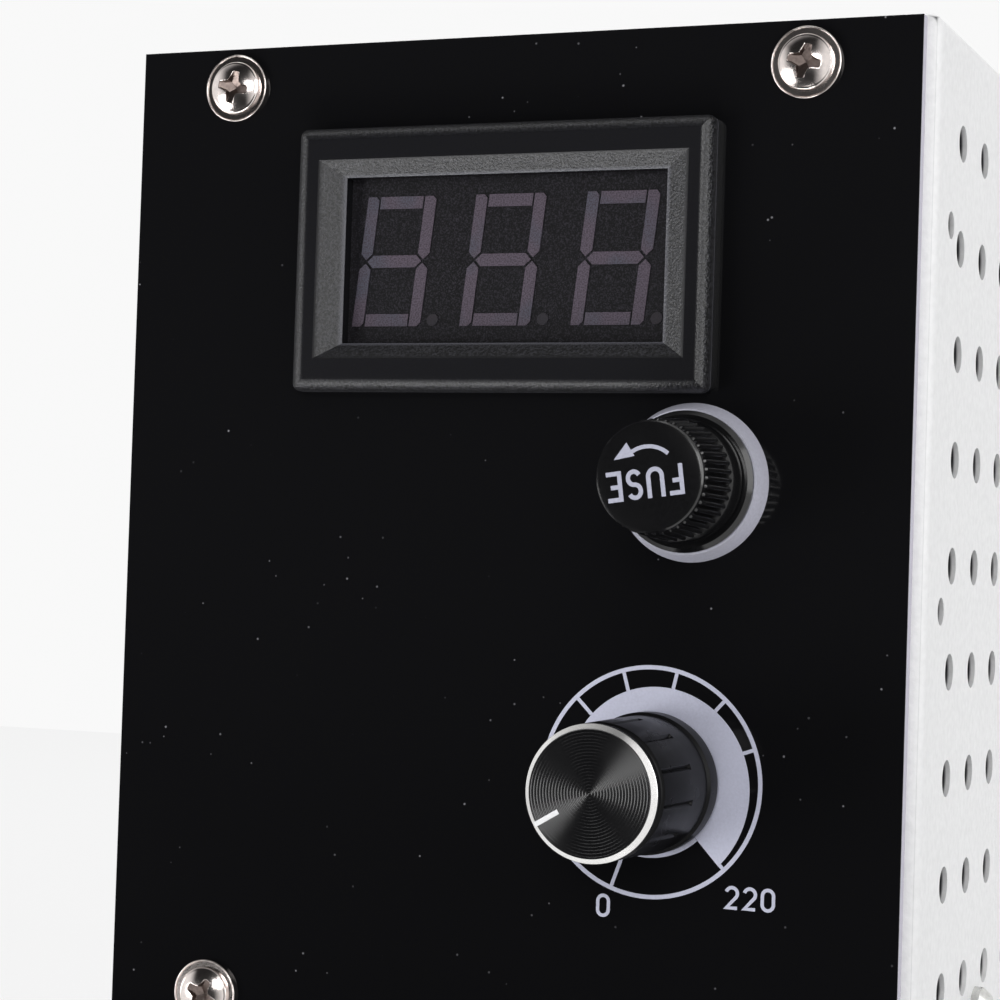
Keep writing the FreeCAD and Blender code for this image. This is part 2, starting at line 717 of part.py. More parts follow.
def fuse_holder():
    """Panel fuse holder: a flange on the panel and a barrel through it with a blind bore for the fuse."""
    front = FUSE_WASHER_T + FUSE_FLANGE_T
    bevel = FUSE_FLANGE_T / 2
    profile = [
        (FUSE_BORE_R, front), (FUSE_FLANGE_R - bevel, front),
        (FUSE_FLANGE_R, front - bevel), (FUSE_FLANGE_R, FUSE_WASHER_T), (FUSE_BARREL_R, FUSE_WASHER_T),
        (FUSE_BARREL_R, -FUSE_BARREL_L), (0, -FUSE_BARREL_L), (0, -FUSE_BORE_L), (FUSE_BORE_R, -FUSE_BORE_L),
    ]
    return turned_y(profile, FUSE_X, FUSE_Z, Y_PANEL)


def fuse_washer():
    """The pale tapered washer between the holder's flange and the panel."""
    inner = FUSE_BARREL_R + SCREW_FIT
    profile = [(inner, 0), (FUSE_WASHER_R, 0), (FUSE_WASHER_TOP_R, FUSE_WASHER_T), (inner, FUSE_WASHER_T)]
    return turned_y(profile, FUSE_X, FUSE_Z, Y_PANEL)


def fuse_holder_nut():
    """The nut that clamps the fuse holder to the panel from behind."""
    nut = hexagon_y(FUSE_NUT_AF, FUSE_X, FUSE_Z, Y_FRONT, Y_FRONT + FUSE_NUT_T)
    bore = rod_y(FUSE_BARREL_R + SCREW_FIT, FUSE_X, FUSE_Z, Y_FRONT - 1, Y_FRONT + FUSE_NUT_T + 1)
    return nut.cut(bore)


def fuse_terminals():
    """The holder's two solder tabs: one on the end of its barrel and one on its side."""
    end_y = Y_PANEL + FUSE_BARREL_L
    end = centred(TAB_W, TAB_T, FUSE_X, FUSE_Z, end_y, end_y + TAB_L)
    side_y = Y_FRONT + FUSE_NUT_T + 2 * FIT
    top = FUSE_Z + FUSE_BARREL_R
    side = box(FUSE_X - TAB_W / 2, FUSE_X + TAB_W / 2, side_y, side_y + TAB_T, top, top + TAB_L / 2)
    return group([end, side])


def fuse_cap():
    """The ribbed cap that is turned and pulled to change the fuse, with a spigot that grips the fuse."""
    base = FUSE_WASHER_T + FUSE_FLANGE_T + FIT
    collar_top = base + FUSE_COLLAR_L
    edge = 0.5
    profile = [
        (0, FUSE_CAP_REACH), (FUSE_CAP_R - edge, FUSE_CAP_REACH), (FUSE_CAP_R, FUSE_CAP_REACH - edge),
        (FUSE_CAP_R + FUSE_RIB_DEPTH, collar_top + edge), (FUSE_COLLAR_R - edge, collar_top),
        (FUSE_COLLAR_R, collar_top - edge), (FUSE_COLLAR_R, base), (FUSE_SPIGOT_R, base),
        (FUSE_SPIGOT_R, -FUSE_SPIGOT_L), (FUSE_R + SCREW_FIT, -FUSE_SPIGOT_L),
        (FUSE_R + SCREW_FIT, -FUSE_SEAT), (0, -FUSE_SEAT),
    ]
    cap = turned_y(profile, FUSE_X, FUSE_Z, Y_PANEL)
    groove_y0 = Y_PANEL - FUSE_CAP_REACH + 1.2
    groove_y1 = Y_PANEL - collar_top - edge
    grooves = []
    for rib in range(FUSE_RIBS):
        reach = FUSE_CAP_R + FUSE_RIB_DEPTH
        width = math.pi * reach / FUSE_RIBS
        outside = reach + FUSE_RIB_DEPTH
        corners = [(FUSE_CAP_R - FUSE_RIB_DEPTH, 0), (outside, -width), (outside, width)]
        groove = prism_y(corners, groove_y0, groove_y1)
        grooves.append(placed(groove, ALONG_Y, 360 * rib / FUSE_RIBS, V(FUSE_X, 0, FUSE_Z)))
    return cap.cut(grooves)


def fuse_glass():
    """The fuse's glass tube."""
    y0 = Y_PANEL + FUSE_SEAT + FUSE_END_WALL
    radius = FUSE_R - FUSE_END_WALL
    tube = rod_y(radius, FUSE_X, FUSE_Z, y0, y0 + FUSE_L - 2 * FUSE_END_WALL)
    bore = rod_y(radius / 2, FUSE_X, FUSE_Z, y0 - 1, y0 + FUSE_L + 1)
    return tube.cut(bore)


def fuse_end_caps():
    """The fuse's two metal end caps."""
    y0 = Y_PANEL + FUSE_SEAT
    y1 = y0 + FUSE_L
    inner = FUSE_R - FUSE_END_WALL
    front = rod_y(FUSE_R, FUSE_X, FUSE_Z, y0, y0 + FUSE_END_L)
    front = front.cut(rod_y(inner, FUSE_X, FUSE_Z, y0 + FUSE_END_WALL, y0 + FUSE_END_L + 1))
    back = rod_y(FUSE_R, FUSE_X, FUSE_Z, y1 - FUSE_END_L, y1)
    back = back.cut(rod_y(inner, FUSE_X, FUSE_Z, y1 - FUSE_END_L - 1, y1 - FUSE_END_WALL))
    return group([front, back])


def knob_shell():
    """Turned aluminium knob: bevelled face, plain neck, fluted grip and a plain foot, hollow behind."""
    inner = KNOB_BASE_R - KNOB_WALL
    neck_top = KNOB_REACH - KNOB_BEVEL
    neck_low = neck_top - KNOB_NECK_L
    foot_top = KNOB_GAP + KNOB_BASE_L
    neck_r = KNOB_TOP_R - KNOB_NECK_DEPTH
    profile = [
        (0, KNOB_REACH), (KNOB_TOP_R - KNOB_BEVEL, KNOB_REACH), (KNOB_TOP_R, neck_top),
        (KNOB_TOP_R, neck_top - KNOB_BEVEL), (neck_r, neck_top - 2 * KNOB_BEVEL),
        (neck_r, neck_low), (KNOB_TOP_R, neck_low - KNOB_GRIP_EDGE),
        (KNOB_BASE_R - KNOB_NECK_DEPTH, foot_top), (KNOB_BASE_R, foot_top - KNOB_GRIP_EDGE),
        (KNOB_BASE_R, KNOB_GAP), (inner, KNOB_GAP), (inner - (KNOB_BASE_R - KNOB_TOP_R), KNOB_REACH - KNOB_FRONT_WALL),
        (0, KNOB_REACH - KNOB_FRONT_WALL),
    ]
    knob = turned_y(profile, DIAL_X, DIAL_Z, Y_PANEL)
    flute_y0 = Y_PANEL - neck_low - 0.2
    cutters = []
    for flute in range(KNOB_FLUTES):
        cutter = box(KNOB_TOP_R - KNOB_FLUTE_DEPTH, KNOB_BASE_R + 1, flute_y0, flute_y0 + KNOB_FLUTE_L,
                     -KNOB_FLUTE_W / 2, KNOB_FLUTE_W / 2)
        turn = KNOB_FLUTE_PHASE + 360 * flute / KNOB_FLUTES
        cutters.append(placed(cutter, ALONG_Y, turn, V(DIAL_X, 0, DIAL_Z)))
    return knob.cut(cutters)


def knob_core():
    """The plastic core inside the knob that grips the shaft."""
    y0 = Y_PANEL - KNOB_REACH + KNOB_FRONT_WALL
    radius = KNOB_TOP_R - KNOB_WALL - SCREW_FIT
    core = rod_y(radius, DIAL_X, DIAL_Z, y0, y0 + KNOB_CORE_L)
    return core.cut(rod_y(SHAFT_R + SHAFT_FIT, DIAL_X, DIAL_Z, y0 + KNOB_FRONT_WALL, y0 + KNOB_CORE_L + 1))


def pot_shaft():
    """The control's shaft, from inside its case to inside the knob."""
    y0 = Y_PANEL - KNOB_REACH + 2 * KNOB_FRONT_WALL + FIT
    return rod_y(SHAFT_R, DIAL_X, DIAL_Z, y0, Y_FRONT + POT_D / 2)


def pot_body():
    """The control's round case behind the panel and its threaded bush through it."""
    case = rod_y(POT_R, DIAL_X, DIAL_Z, Y_FRONT, Y_FRONT + POT_D)
    bush = rod_y(BUSH_R, DIAL_X, DIAL_Z, Y_PANEL - BUSH_REACH, Y_FRONT)
    bore = rod_y(SHAFT_R + SHAFT_FIT, DIAL_X, DIAL_Z, Y_PANEL - BUSH_REACH - 1, Y_FRONT + POT_D / 2 + FIT)
    return joined([case, bush]).cut(bore)


def pot_nut():
    """The nut on the bush, hidden inside the knob's foot."""
    nut = hexagon_y(POT_NUT_AF, DIAL_X, DIAL_Z, Y_PANEL - POT_NUT_T, Y_PANEL)
    return nut.cut(rod_y(BUSH_R + SCREW_FIT, DIAL_X, DIAL_Z, Y_PANEL - POT_NUT_T - 1, Y_PANEL + 1))


def pot_terminals():
    """The control's row of solder tabs, below its case."""
    tabs = []
    y = Y_FRONT + POT_D / 2
    for tab in range(POT_TABS):
        offset = (tab - (POT_TABS - 1) / 2) * POT_TAB_PITCH
        top = DIAL_Z - math.sqrt(POT_R**2 - (abs(offset) + TAB_T) ** 2)
        low = DIAL_Z - POT_R - TAB_W
        x = DIAL_X + offset
        tabs.append(box(x - TAB_T, x + TAB_T, y, y + TAB_T, low, top))
    case = rod_y(POT_R, DIAL_X, DIAL_Z, Y_FRONT, Y_FRONT + POT_D)
    return group([tab.cut(case) for tab in tabs])


def hot_plate():
    """Thick aluminium work plate with two long bores from its back for the heaters."""
    block = box(-PLATE_W / 2, PLATE_W / 2, PLATE_Y0, PLATE_Y1, PLATE_Z0, PLATE_Z1)
    block = block.makeFillet(PLATE_CORNER_R, edges_along(block, V(0, 0, 1), lambda p: True))
    rim = [edge for edge in block.Edges if edge.CenterOfMass.z > PLATE_Z1 - 1e-3]
    block = block.makeChamfer(PLATE_CHAMFER, rim)
    z = PLATE_Z0 + CARTRIDGE_RISE
    y0 = PLATE_Y1 + CARTRIDGE_STUB - CARTRIDGE_L - FIT
    bores = [rod_y(CARTRIDGE_R + SCREW_FIT, s * CARTRIDGE_X, z, y0, PLATE_Y1 + 1) for s in SIDES]
    return block.cut(bores)


def heater_cartridges():
    """The two heating cartridges in the plate."""
    z = PLATE_Z0 + CARTRIDGE_RISE
    y1 = PLATE_Y1 + CARTRIDGE_STUB
    return group([rod_y(CARTRIDGE_R, s * CARTRIDGE_X, z, y1 - CARTRIDGE_L, y1) for s in SIDES])


def plate_standoffs():
    """The four ceramic posts that carry the plate on the bridge."""
    return group([rod_z(STANDOFF_R, x, y, BRIDGE_TOP, PLATE_Z0) for x, y in standoff_places()])


def insulation_board():
    """Ceramic-fibre board on the bridge, under the plate."""
    x = PLATE_W / 2 - INSULATION_MARGIN
    y0, y1 = PLATE_Y0 + INSULATION_MARGIN, PLATE_Y1 - INSULATION_MARGIN
    board = box(-x, x, y0, y1, BRIDGE_TOP, BRIDGE_TOP + INSULATION_T)
    holes = [rod_z(STANDOFF_R + FIT, px, py, BRIDGE_TOP - 1, BRIDGE_TOP + INSULATION_T + 1)
             for px, py in standoff_places()]
    return board.cut(holes)


def heater_bridge():
    """Sheet bridge that stands on the tray and carries the plate, with feet turned in at its sides."""
    x = BRIDGE_W / 2
    pieces = [box(-x, x, PLATE_Y0, PLATE_Y1, BRIDGE_TOP - SHEET, BRIDGE_TOP)]
    for side in SIDES:
        wall = side * (x - SHEET / 2)
        pieces.append(box(wall - SHEET / 2, wall + SHEET / 2, PLATE_Y0, PLATE_Y1, TRAY_TOP, BRIDGE_TOP))
        foot = side * (x - SHEET - BRIDGE_FOOT / 2)
        pieces.append(box(foot - BRIDGE_FOOT / 2, foot + BRIDGE_FOOT / 2, BRIDGE_FOOT_Y0, BRIDGE_FOOT_Y1,
                          TRAY_TOP, TRAY_TOP + SHEET))
    holes = [rod_z(M3_R + SCREW_FIT, px, py, TRAY_TOP - 1, TRAY_TOP + SHEET + 1)
             for px, py in bridge_screw_places()]
    return joined(pieces).cut(holes)


def bridge_screws():
    """The four screws up through the tray into the bridge's feet."""
    screw = pan_screw(M3_SHANK_L)
    return group([placed(screw, V(1, 0, 0), 90, V(x, y, Z0)) for x, y in bridge_screw_places()])


def thermal_cutout():
    """The button thermostat under the middle of the plate, with its two tabs."""
    y = (PLATE_Y0 + PLATE_Y1) / 2
    button = rod_z(CUTOUT_R, 0, y, PLATE_Z0 - CUTOUT_T, PLATE_Z0)
    low = PLATE_Z0 - CUTOUT_T
    tabs = [box(side * CUTOUT_R * 0.6 - TAB_W / 4, side * CUTOUT_R * 0.6 + TAB_W / 4,
                y - TAB_T / 2, y + TAB_T / 2, low - TAB_W, low) for side in SIDES]
    return joined([button] + tabs)


def control_board():
    """The power control's circuit board."""
    board = box(-BOARD_W / 2, BOARD_W / 2, BOARD_Y0, BOARD_Y1, BOARD_Z, BOARD_TOP)
    return board


def board_posts():
    """The posts between the tray and the control board."""
    return group([rod_z(BOARD_POST_R, x, y, TRAY_TOP, BOARD_Z) for x, y in board_post_places()])


def triac_heatsink():
    """Finned heat sink standing on the board."""
    x0 = -BOARD_W / 2 + 2 * FIT
    y0 = BOARD_Y0 + BOARD_POST_INSET
    x1 = x0 + SINK_W
    z1 = BOARD_TOP + SINK_H
    pieces = [box(x1 - SINK_BASE, x1, y0, y0 + SINK_L, BOARD_TOP, z1)]
    step = (SINK_L - SINK_FIN_T) / (SINK_FINS - 1)
    for fin in range(SINK_FINS):
        y = y0 + fin * step
        pieces.append(box(x0, x1 - SINK_BASE, y, y + SINK_FIN_T, BOARD_TOP, z1))
    return joined(pieces)


def triac():
    """The power switch on the heat sink's flat back, with its three legs in the board."""
    x0 = -BOARD_W / 2 + 2 * FIT + SINK_W
    y = BOARD_Y0 + BOARD_POST_INSET + SINK_L / 2
    z0 = BOARD_TOP + TRIAC_LEG_L
    pieces = [box(x0, x0 + TRIAC_T, y - TRIAC_W / 2, y + TRIAC_W / 2, z0, z0 + TRIAC_H)]
    for leg in (-1, 0, 1):
        ly = y + leg * TRIAC_LEG_PITCH
        lx = x0 + TRIAC_T / 2
        pieces.append(box(lx - TRIAC_LEG_W / 2, lx + TRIAC_LEG_W / 2, ly - TRIAC_LEG_W / 2,
                          ly + TRIAC_LEG_W / 2, BOARD_TOP, z0))
    return joined(pieces)


def filter_capacitor():
    """The board's moulded film capacitor."""
    x1 = BOARD_W / 2 - BOARD_POST_INSET
    y0 = BOARD_Y0 + BOARD_POST_INSET
    block = box(x1 - CAP_W, x1, y0, y0 + CAP_L, BOARD_TOP, BOARD_TOP + CAP_H)
    top = [edge for edge in block.Edges if edge.CenterOfMass.z > BOARD_TOP + CAP_H - 1e-3]
    return block.makeFillet(FIT * 2, top)


def terminal_block():
    """The board's screw terminals, with a wire hole and a screw well for each way."""
    width = BLOCK_WAYS * BLOCK_PITCH
    y1 = BOARD_Y1 - BOARD_POST_INSET
    y0 = y1 - BLOCK_D
    block = box(-width / 2, width / 2, y0, y1, BOARD_TOP, BOARD_TOP + BLOCK_H)
    cuts = []
    for way in range(BLOCK_WAYS):
        x = (way - (BLOCK_WAYS - 1) / 2) * BLOCK_PITCH
        y, top = y1 - BLOCK_D / 2, BOARD_TOP + BLOCK_H
        cuts.append(centred(BLOCK_PITCH / 2, BLOCK_H / 3, x, BOARD_TOP + BLOCK_H / 4, y, y1 + 1))
        cuts.append(rod_z(BLOCK_PITCH / 4, x, y, top - BLOCK_H / 2, top + 1))
    return block.cut(cuts)


def mains_inlet():
    """Three-pin mains inlet: a flange outside the rear panel and a moulded body with a keyed socket."""
    y0 = Y_REAR_PANEL
    flange = centred(INLET_FLANGE_W, INLET_FLANGE_H, 0, INLET_Z, y0, y0 + INLET_FLANGE_T)
    corners = edges_along(flange, ALONG_Y, lambda p: True)
    flange = flange.makeFillet(INLET_FLANGE_H / 4, corners)
    back = y0 + INLET_FLANGE_T - INLET_SOCKET_D - METER_WALL
    body = centred(INLET_BODY_W, INLET_BODY_H, 0, INLET_Z, back, y0)
    x, z, cut = INLET_SOCKET_W / 2, INLET_SOCKET_H / 2, INLET_SOCKET_CUT
    keyed = [(-x, -z), (x, -z), (x, z - cut), (x - cut, z), (-x + cut, z), (-x, z - cut)]
    outline = [(px, INLET_Z + pz) for px, pz in keyed]
    socket = prism_y(outline, y0 + INLET_FLANGE_T - INLET_SOCKET_D, y0 + INLET_FLANGE_T + 1)
    cuts = [socket]
    for side in SIDES:
        cuts.append(rod_y(M3_R + SCREW_FIT, side * INLET_SCREW_X, INLET_Z, y0 - 1, y0 + INLET_FLANGE_T + 1))
        seat = y0 + INLET_FLANGE_T - M3_HEAD_T
        cuts.append(rod_y(M3_HEAD_R + FIT, side * INLET_SCREW_X, INLET_Z, seat, y0 + INLET_FLANGE_T + 1))
    inlet = joined([flange, body]).cut(cuts)
    return inlet.cut([blade.copy() for blade in inlet_blades()])


def inlet_blades():
    """The inlet's three blades, from the tails behind it to their ends in the socket."""
    floor = Y_REAR_PANEL + INLET_FLANGE_T - INLET_SOCKET_D
    y0, y1 = floor - METER_WALL - INLET_TAIL_L, floor + INLET_PIN_L
    places = [(-INLET_PIN_X, -INLET_PIN_DROP), (INLET_PIN_X, -INLET_PIN_DROP), (0, INLET_EARTH_RISE)]
    return [centred(INLET_PIN_W, INLET_PIN_H, x, INLET_Z + z, y0, y1) for x, z in places]


def inlet_pins():
    """The inlet's line, neutral and earth blades."""
    return group(inlet_blades())


def inlet_screws():
    """The two screws that hold the inlet."""
    screw = pan_screw(M3_SHANK_L)
    y = Y_REAR_PANEL + INLET_FLANGE_T - M3_HEAD_T
    return group([placed(screw, V(0, 0, 1), 180, V(s * INLET_SCREW_X, y, INLET_Z)) for s in SIDES])


def rocker_pivot():
    """The rocker's pivot, as (y, z)."""
    return ROCKER_FACE_Y - ROCKER_SINK - ROCKER_DEPTH / 2, ROCKER_Z


def rocker_frame():
    """The power switch's moulded body with its rim outside the rear panel and its tabs behind."""
    y0 = Y_REAR_PANEL
    rim = centred(ROCKER_FRAME_W, ROCKER_FRAME_H, 0, ROCKER_Z, y0, y0 + ROCKER_FRAME_T)
    back = y0 - ROCKER_BODY_D
    body = centred(ROCKER_BODY_W, ROCKER_BODY_H, 0, ROCKER_Z, back, y0)
    tab_z = [ROCKER_Z + side * ROCKER_BODY_H / 4 for side in SIDES]
    tabs = [centred(TAB_W, TAB_T, 0, z, back - TAB_L, back) for z in tab_z]
    pivot_y, pivot_z = rocker_pivot()
    width = ROCKER_BODY_W - 2 * ROCKER_WALL
    height = ROCKER_BODY_H - 2 * ROCKER_WALL
    well = centred(width, height, 0, ROCKER_Z, pivot_y - ROCKER_DEPTH - ROCKER_RUN, y0 + ROCKER_FRAME_T + 1)
    pin = rod_x(ROCKER_PIN_R + SHAFT_FIT, pivot_y, pivot_z, -ROCKER_BODY_W / 2 + FIT, ROCKER_BODY_W / 2 - FIT)
    return joined([rim, body] + tabs).cut([well, pin])


def power_rocker():
    """The rocker: a dished key on a pin, rounded at its ends about its pivot, at rest tipped to off."""
    pivot_y, pivot_z = rocker_pivot()
    half_h = ROCKER_BODY_H / 2 - ROCKER_WALL - 2 * ROCKER_RUN
    half_w = ROCKER_BODY_W / 2 - ROCKER_WALL - ROCKER_RUN
    rise = half_h * math.tan(math.radians(ROCKER_DISH))
    face = ROCKER_DEPTH / 2
    foot = half_h * 0.6
    outline = [(-face, -foot), (face + rise, -half_h), (face, 0), (face + rise, half_h), (-face, foot)]
    key = prism_x([(pivot_y + y, pivot_z + z) for y, z in outline], -half_w, half_w)
    swing = rod_x(math.hypot(half_h, face) - ROCKER_RUN, pivot_y, pivot_z, -half_w, half_w)
    pin_end = ROCKER_BODY_W / 2 - 2 * FIT
    pin = rod_x(ROCKER_PIN_R, pivot_y, pivot_z, -pin_end, pin_end)
    rocker = joined([key.common(swing), pin])
    rocker.rotate(V(0, pivot_y, pivot_z), V(1, 0, 0), -ROCKER_TILT)
    return rocker


PIECES = [
    shell, base_tray, rear_panel, front_panel, panel_screws, panel_nuts, base_screws, rear_screws,
    rubber_feet, foot_screws, meter_housing, meter_display, display_segments, meter_board,
    fuse_holder, fuse_washer, fuse_holder_nut, fuse_terminals, fuse_cap, fuse_glass, fuse_end_caps,
    knob_shell, knob_core, pot_shaft, pot_body, pot_nut, pot_terminals,
    hot_plate, heater_cartridges, plate_standoffs, insulation_board, heater_bridge, bridge_screws,
    thermal_cutout, control_board, board_posts, triac_heatsink, triac, filter_capacitor, terminal_block,
    mains_inlet, inlet_pins, inlet_screws, rocker_frame, power_rocker,
]


def main():
    os.makedirs("parts", exist_ok=True)
    for piece in PIECES:
        shape = piece()
        if not shape.isValid() or not shape.Solids:
            raise ValueError(piece.__name__ + " is not a valid solid")
        shape.exportStep(os.path.join("parts", piece.__name__ + ".step"))


main()
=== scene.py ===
"""Dresses the compact reflow heater: finishes for every solid, and the pieces that show up close.

All lengths are metres, in the frame of the solids: +Z up, the control panel faces -Y.
"""

import json

import bmesh
import bpy
import numpy as np
from mathutils import Matrix, Vector


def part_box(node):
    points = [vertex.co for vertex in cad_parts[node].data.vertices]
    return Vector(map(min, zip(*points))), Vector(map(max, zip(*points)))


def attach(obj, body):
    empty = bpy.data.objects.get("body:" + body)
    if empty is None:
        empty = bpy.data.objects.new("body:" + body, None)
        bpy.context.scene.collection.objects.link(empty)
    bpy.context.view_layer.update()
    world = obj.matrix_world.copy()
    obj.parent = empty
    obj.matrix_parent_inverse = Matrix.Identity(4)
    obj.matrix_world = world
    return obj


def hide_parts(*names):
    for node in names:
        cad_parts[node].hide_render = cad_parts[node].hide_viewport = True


bl_info = {
    "name": "Compact reflow heater",
    "version": (1, 0, 0),
    "blender": (4, 5, 0),
    "location": "View3D > Sidebar > Reflow heater",
    "description": "Finishes, dial print, knob, fuse cap and screws of the compact reflow heater",
    "category": "Object",
}

MM = 0.001
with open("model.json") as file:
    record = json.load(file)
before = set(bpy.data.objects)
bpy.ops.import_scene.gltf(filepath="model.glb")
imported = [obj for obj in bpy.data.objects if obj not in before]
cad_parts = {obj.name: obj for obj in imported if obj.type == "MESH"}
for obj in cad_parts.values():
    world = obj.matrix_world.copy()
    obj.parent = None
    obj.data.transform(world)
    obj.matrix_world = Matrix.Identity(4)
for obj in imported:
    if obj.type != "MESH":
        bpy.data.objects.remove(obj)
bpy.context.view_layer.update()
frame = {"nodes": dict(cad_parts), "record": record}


def node_centre(node):
    """The middle of a solid's box."""
    low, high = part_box(node)
    return (low + high) / 2


# Places taken from the solids

PANEL_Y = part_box("front_panel")[0].y
METER = node_centre("meter_housing")
METER_FRONT_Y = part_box("meter_housing")[0].y
FUSE = node_centre("fuse_washer")
FUSE_FACE_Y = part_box("fuse_cap")[0].y
DIAL = node_centre("knob_shell")
KNOB_FACE_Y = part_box("knob_shell")[0].y


# Sizes and colours that a user can change


def length_property(name, millimetres, description):
    """A length in the sidebar."""
    return bpy.props.FloatProperty(name=name, description=description, default=millimetres * MM,
                                   unit="LENGTH", precision=5)


def colour_property(name, rgb, description):
    """A colour in the sidebar."""
    return bpy.props.FloatVectorProperty(name=name, description=description, default=rgb, size=3,
                                         subtype="COLOR", min=0, max=1)


class HeaterSizes(bpy.types.PropertyGroup):
    """Sizes of the pieces that are made here."""

    ink: length_property("Ink", 0.03, "How far the print stands off the panel")
    ring_r: length_property("Dial ring", 11.98, "Radius of the dial's outer ring")
    ring_w: length_property("Dial line", 0.45, "Width of the dial's ring and ticks")
    wedge_in: length_property("Wedge inside", 7.15, "Inner radius of the dial's growing wedge")
    wedge_low: length_property("Wedge at zero", 8.35, "Outer radius of the wedge at zero")
    wedge_high: length_property("Wedge at full", 11.3, "Outer radius of the wedge at full power")
    arc_w: length_property("Inner arc", 0.75, "Width of the arc that closes the wedge's inner edge")
    figure_h: length_property("Figures", 2.45, "Height of the figures by the dial")
    figure_w: length_property("Figure width", 1.55, "Width of one figure by the dial")
    figure_line: length_property("Figure line", 0.36, "Width of the figures' strokes")
    letter_h: length_property("Cap letters", 3.08, "Height of the letters on the fuse cap")
    letter_line: length_property("Cap letter line", 0.45, "Width of the strokes on the fuse cap")
    arrow_r: length_property("Cap arrow", 3.2, "Radius of the arrow on the fuse cap")
    pointer_in: length_property("Pointer inside", 3.75, "Where the knob's pointer starts")
    pointer_out: length_property("Pointer outside", 6.55, "Where the knob's pointer ends")
    pointer_w: length_property("Pointer width", 0.5, "Width of the knob's pointer")
    groove_pitch: length_property("Turning marks", 0.32, "Distance between the grooves on the knob's face")
    groove_depth: length_property("Turning depth", 0.044, "Depth of the grooves on the knob's face")


class HeaterColours(bpy.types.PropertyGroup):
    """Colours that a user would change."""

    powder_coat: colour_property("Case", (0.80, 0.80, 0.80), "Powder coat of the case")
    acrylic: colour_property("Panel", (0.0050, 0.0050, 0.0056), "Acrylic of the front panel")
    acrylic_rim: colour_property("Panel edge", (0.52, 0.50, 0.58), "Sawn edge of the front panel")
    ink: colour_property("Print", (0.54, 0.55, 0.67), "Ink of the dial and the fuse cap")
    bezel: colour_property("Meter", (0.0085, 0.0085, 0.010), "Moulding of the meter")
    display: colour_property("Display", (0.0068, 0.0062, 0.0080), "Face of the display")
    segment: colour_property("Digits", (0.080, 0.062, 0.084), "Unlit bars of the display")
    nickel: colour_property("Panel screws", (0.80, 0.73, 0.70), "Plating of the panel screws")
    knob: colour_property("Knob", (0.005, 0.005, 0.0055), "Anodised aluminium of the knob")
    moulding: colour_property("Fuse holder", (0.005, 0.005, 0.0055), "Moulding of the holder and its cap")
    washer: colour_property("Fuse washer", (0.50, 0.50, 0.58), "Washer under the fuse holder")


def sizes():
    """The sizes in use."""
    return bpy.context.scene.heater_sizes


def colours():
    """The colours in use."""
    return bpy.context.scene.heater_colours


# Surfaces worked out on grids

WELD = 1e-8
CREASE = 0.6
LEAST_MITRE_COSINE = 0.5


def grid_quads(rows, columns, wrap_rows=False, wrap_columns=False):
    """Corner numbers of a grid's quads: (i, j), (i, j+1), (i+1, j+1), (i+1, j), wrapping where asked."""
    i = np.arange(rows if wrap_rows else rows - 1)
    j = np.arange(columns if wrap_columns else columns - 1)
    i, j = np.meshgrid(i, j, indexing="ij")
    below, beside = (i + 1) % rows, (j + 1) % columns
    corners = [i * columns + j, i * columns + beside, below * columns + beside, below * columns + j]
    return np.stack(corners, axis=-1).reshape(-1, 4)


def build_piece(name, parts, materials, body, crease=CREASE, replaces=None):
    """One object from (points, faces, material number) parts, on a body, with faces turned outwards. Edges
    that turn by more than the crease, in radians, stay sharp."""
    points, faces, slots, start = [], [], [], 0
    for part_points, part_faces, number in parts:
        points.append(np.asarray(part_points).reshape(-1, 3))
        faces.extend([[int(v) + start for v in face] for face in part_faces])
        slots.extend([number] * len(part_faces))
        start += len(points[-1])
    mesh = bpy.data.meshes.new(name)
    mesh.from_pydata(np.concatenate(points).tolist(), [], faces)
    for material in materials:
        mesh.materials.append(material)
    mesh.polygons.foreach_set("material_index", slots)
    work = bmesh.new()
    work.from_mesh(mesh)
    bmesh.ops.remove_doubles(work, verts=work.verts, dist=WELD)
    bmesh.ops.recalc_face_normals(work, faces=work.faces)
    work.to_mesh(mesh)
    work.free()
    mesh.shade_smooth()
    mesh.set_sharp_from_angle(angle=crease)
    piece = bpy.data.objects.new(name, mesh)
    bpy.context.scene.collection.objects.link(piece)
    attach(piece, body)
    if replaces:
        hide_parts(replaces)
    return piece


def slab(x, z, y, thickness, closed=False):
    """A flat plate from a grid of (x, z): each row becomes a closed loop, out along the front at y and back
    along the rear at y + thickness, and the loops are joined in order. Open ends get a cap."""
    rows, columns = x.shape
    loop_x = np.concatenate([x, x[:, ::-1]], axis=1)
    loop_z = np.concatenate([z, z[:, ::-1]], axis=1)
    loop_y = np.full_like(loop_x, y)
    loop_y[:, columns:] = y + thickness
    faces = grid_quads(rows, 2 * columns, closed, True).tolist()
    if not closed:
        first = list(range(2 * columns))
        faces += [first[::-1], [(rows - 1) * 2 * columns + v for v in first]]
    return np.stack([loop_x, loop_y, loop_z], axis=-1), faces, 0


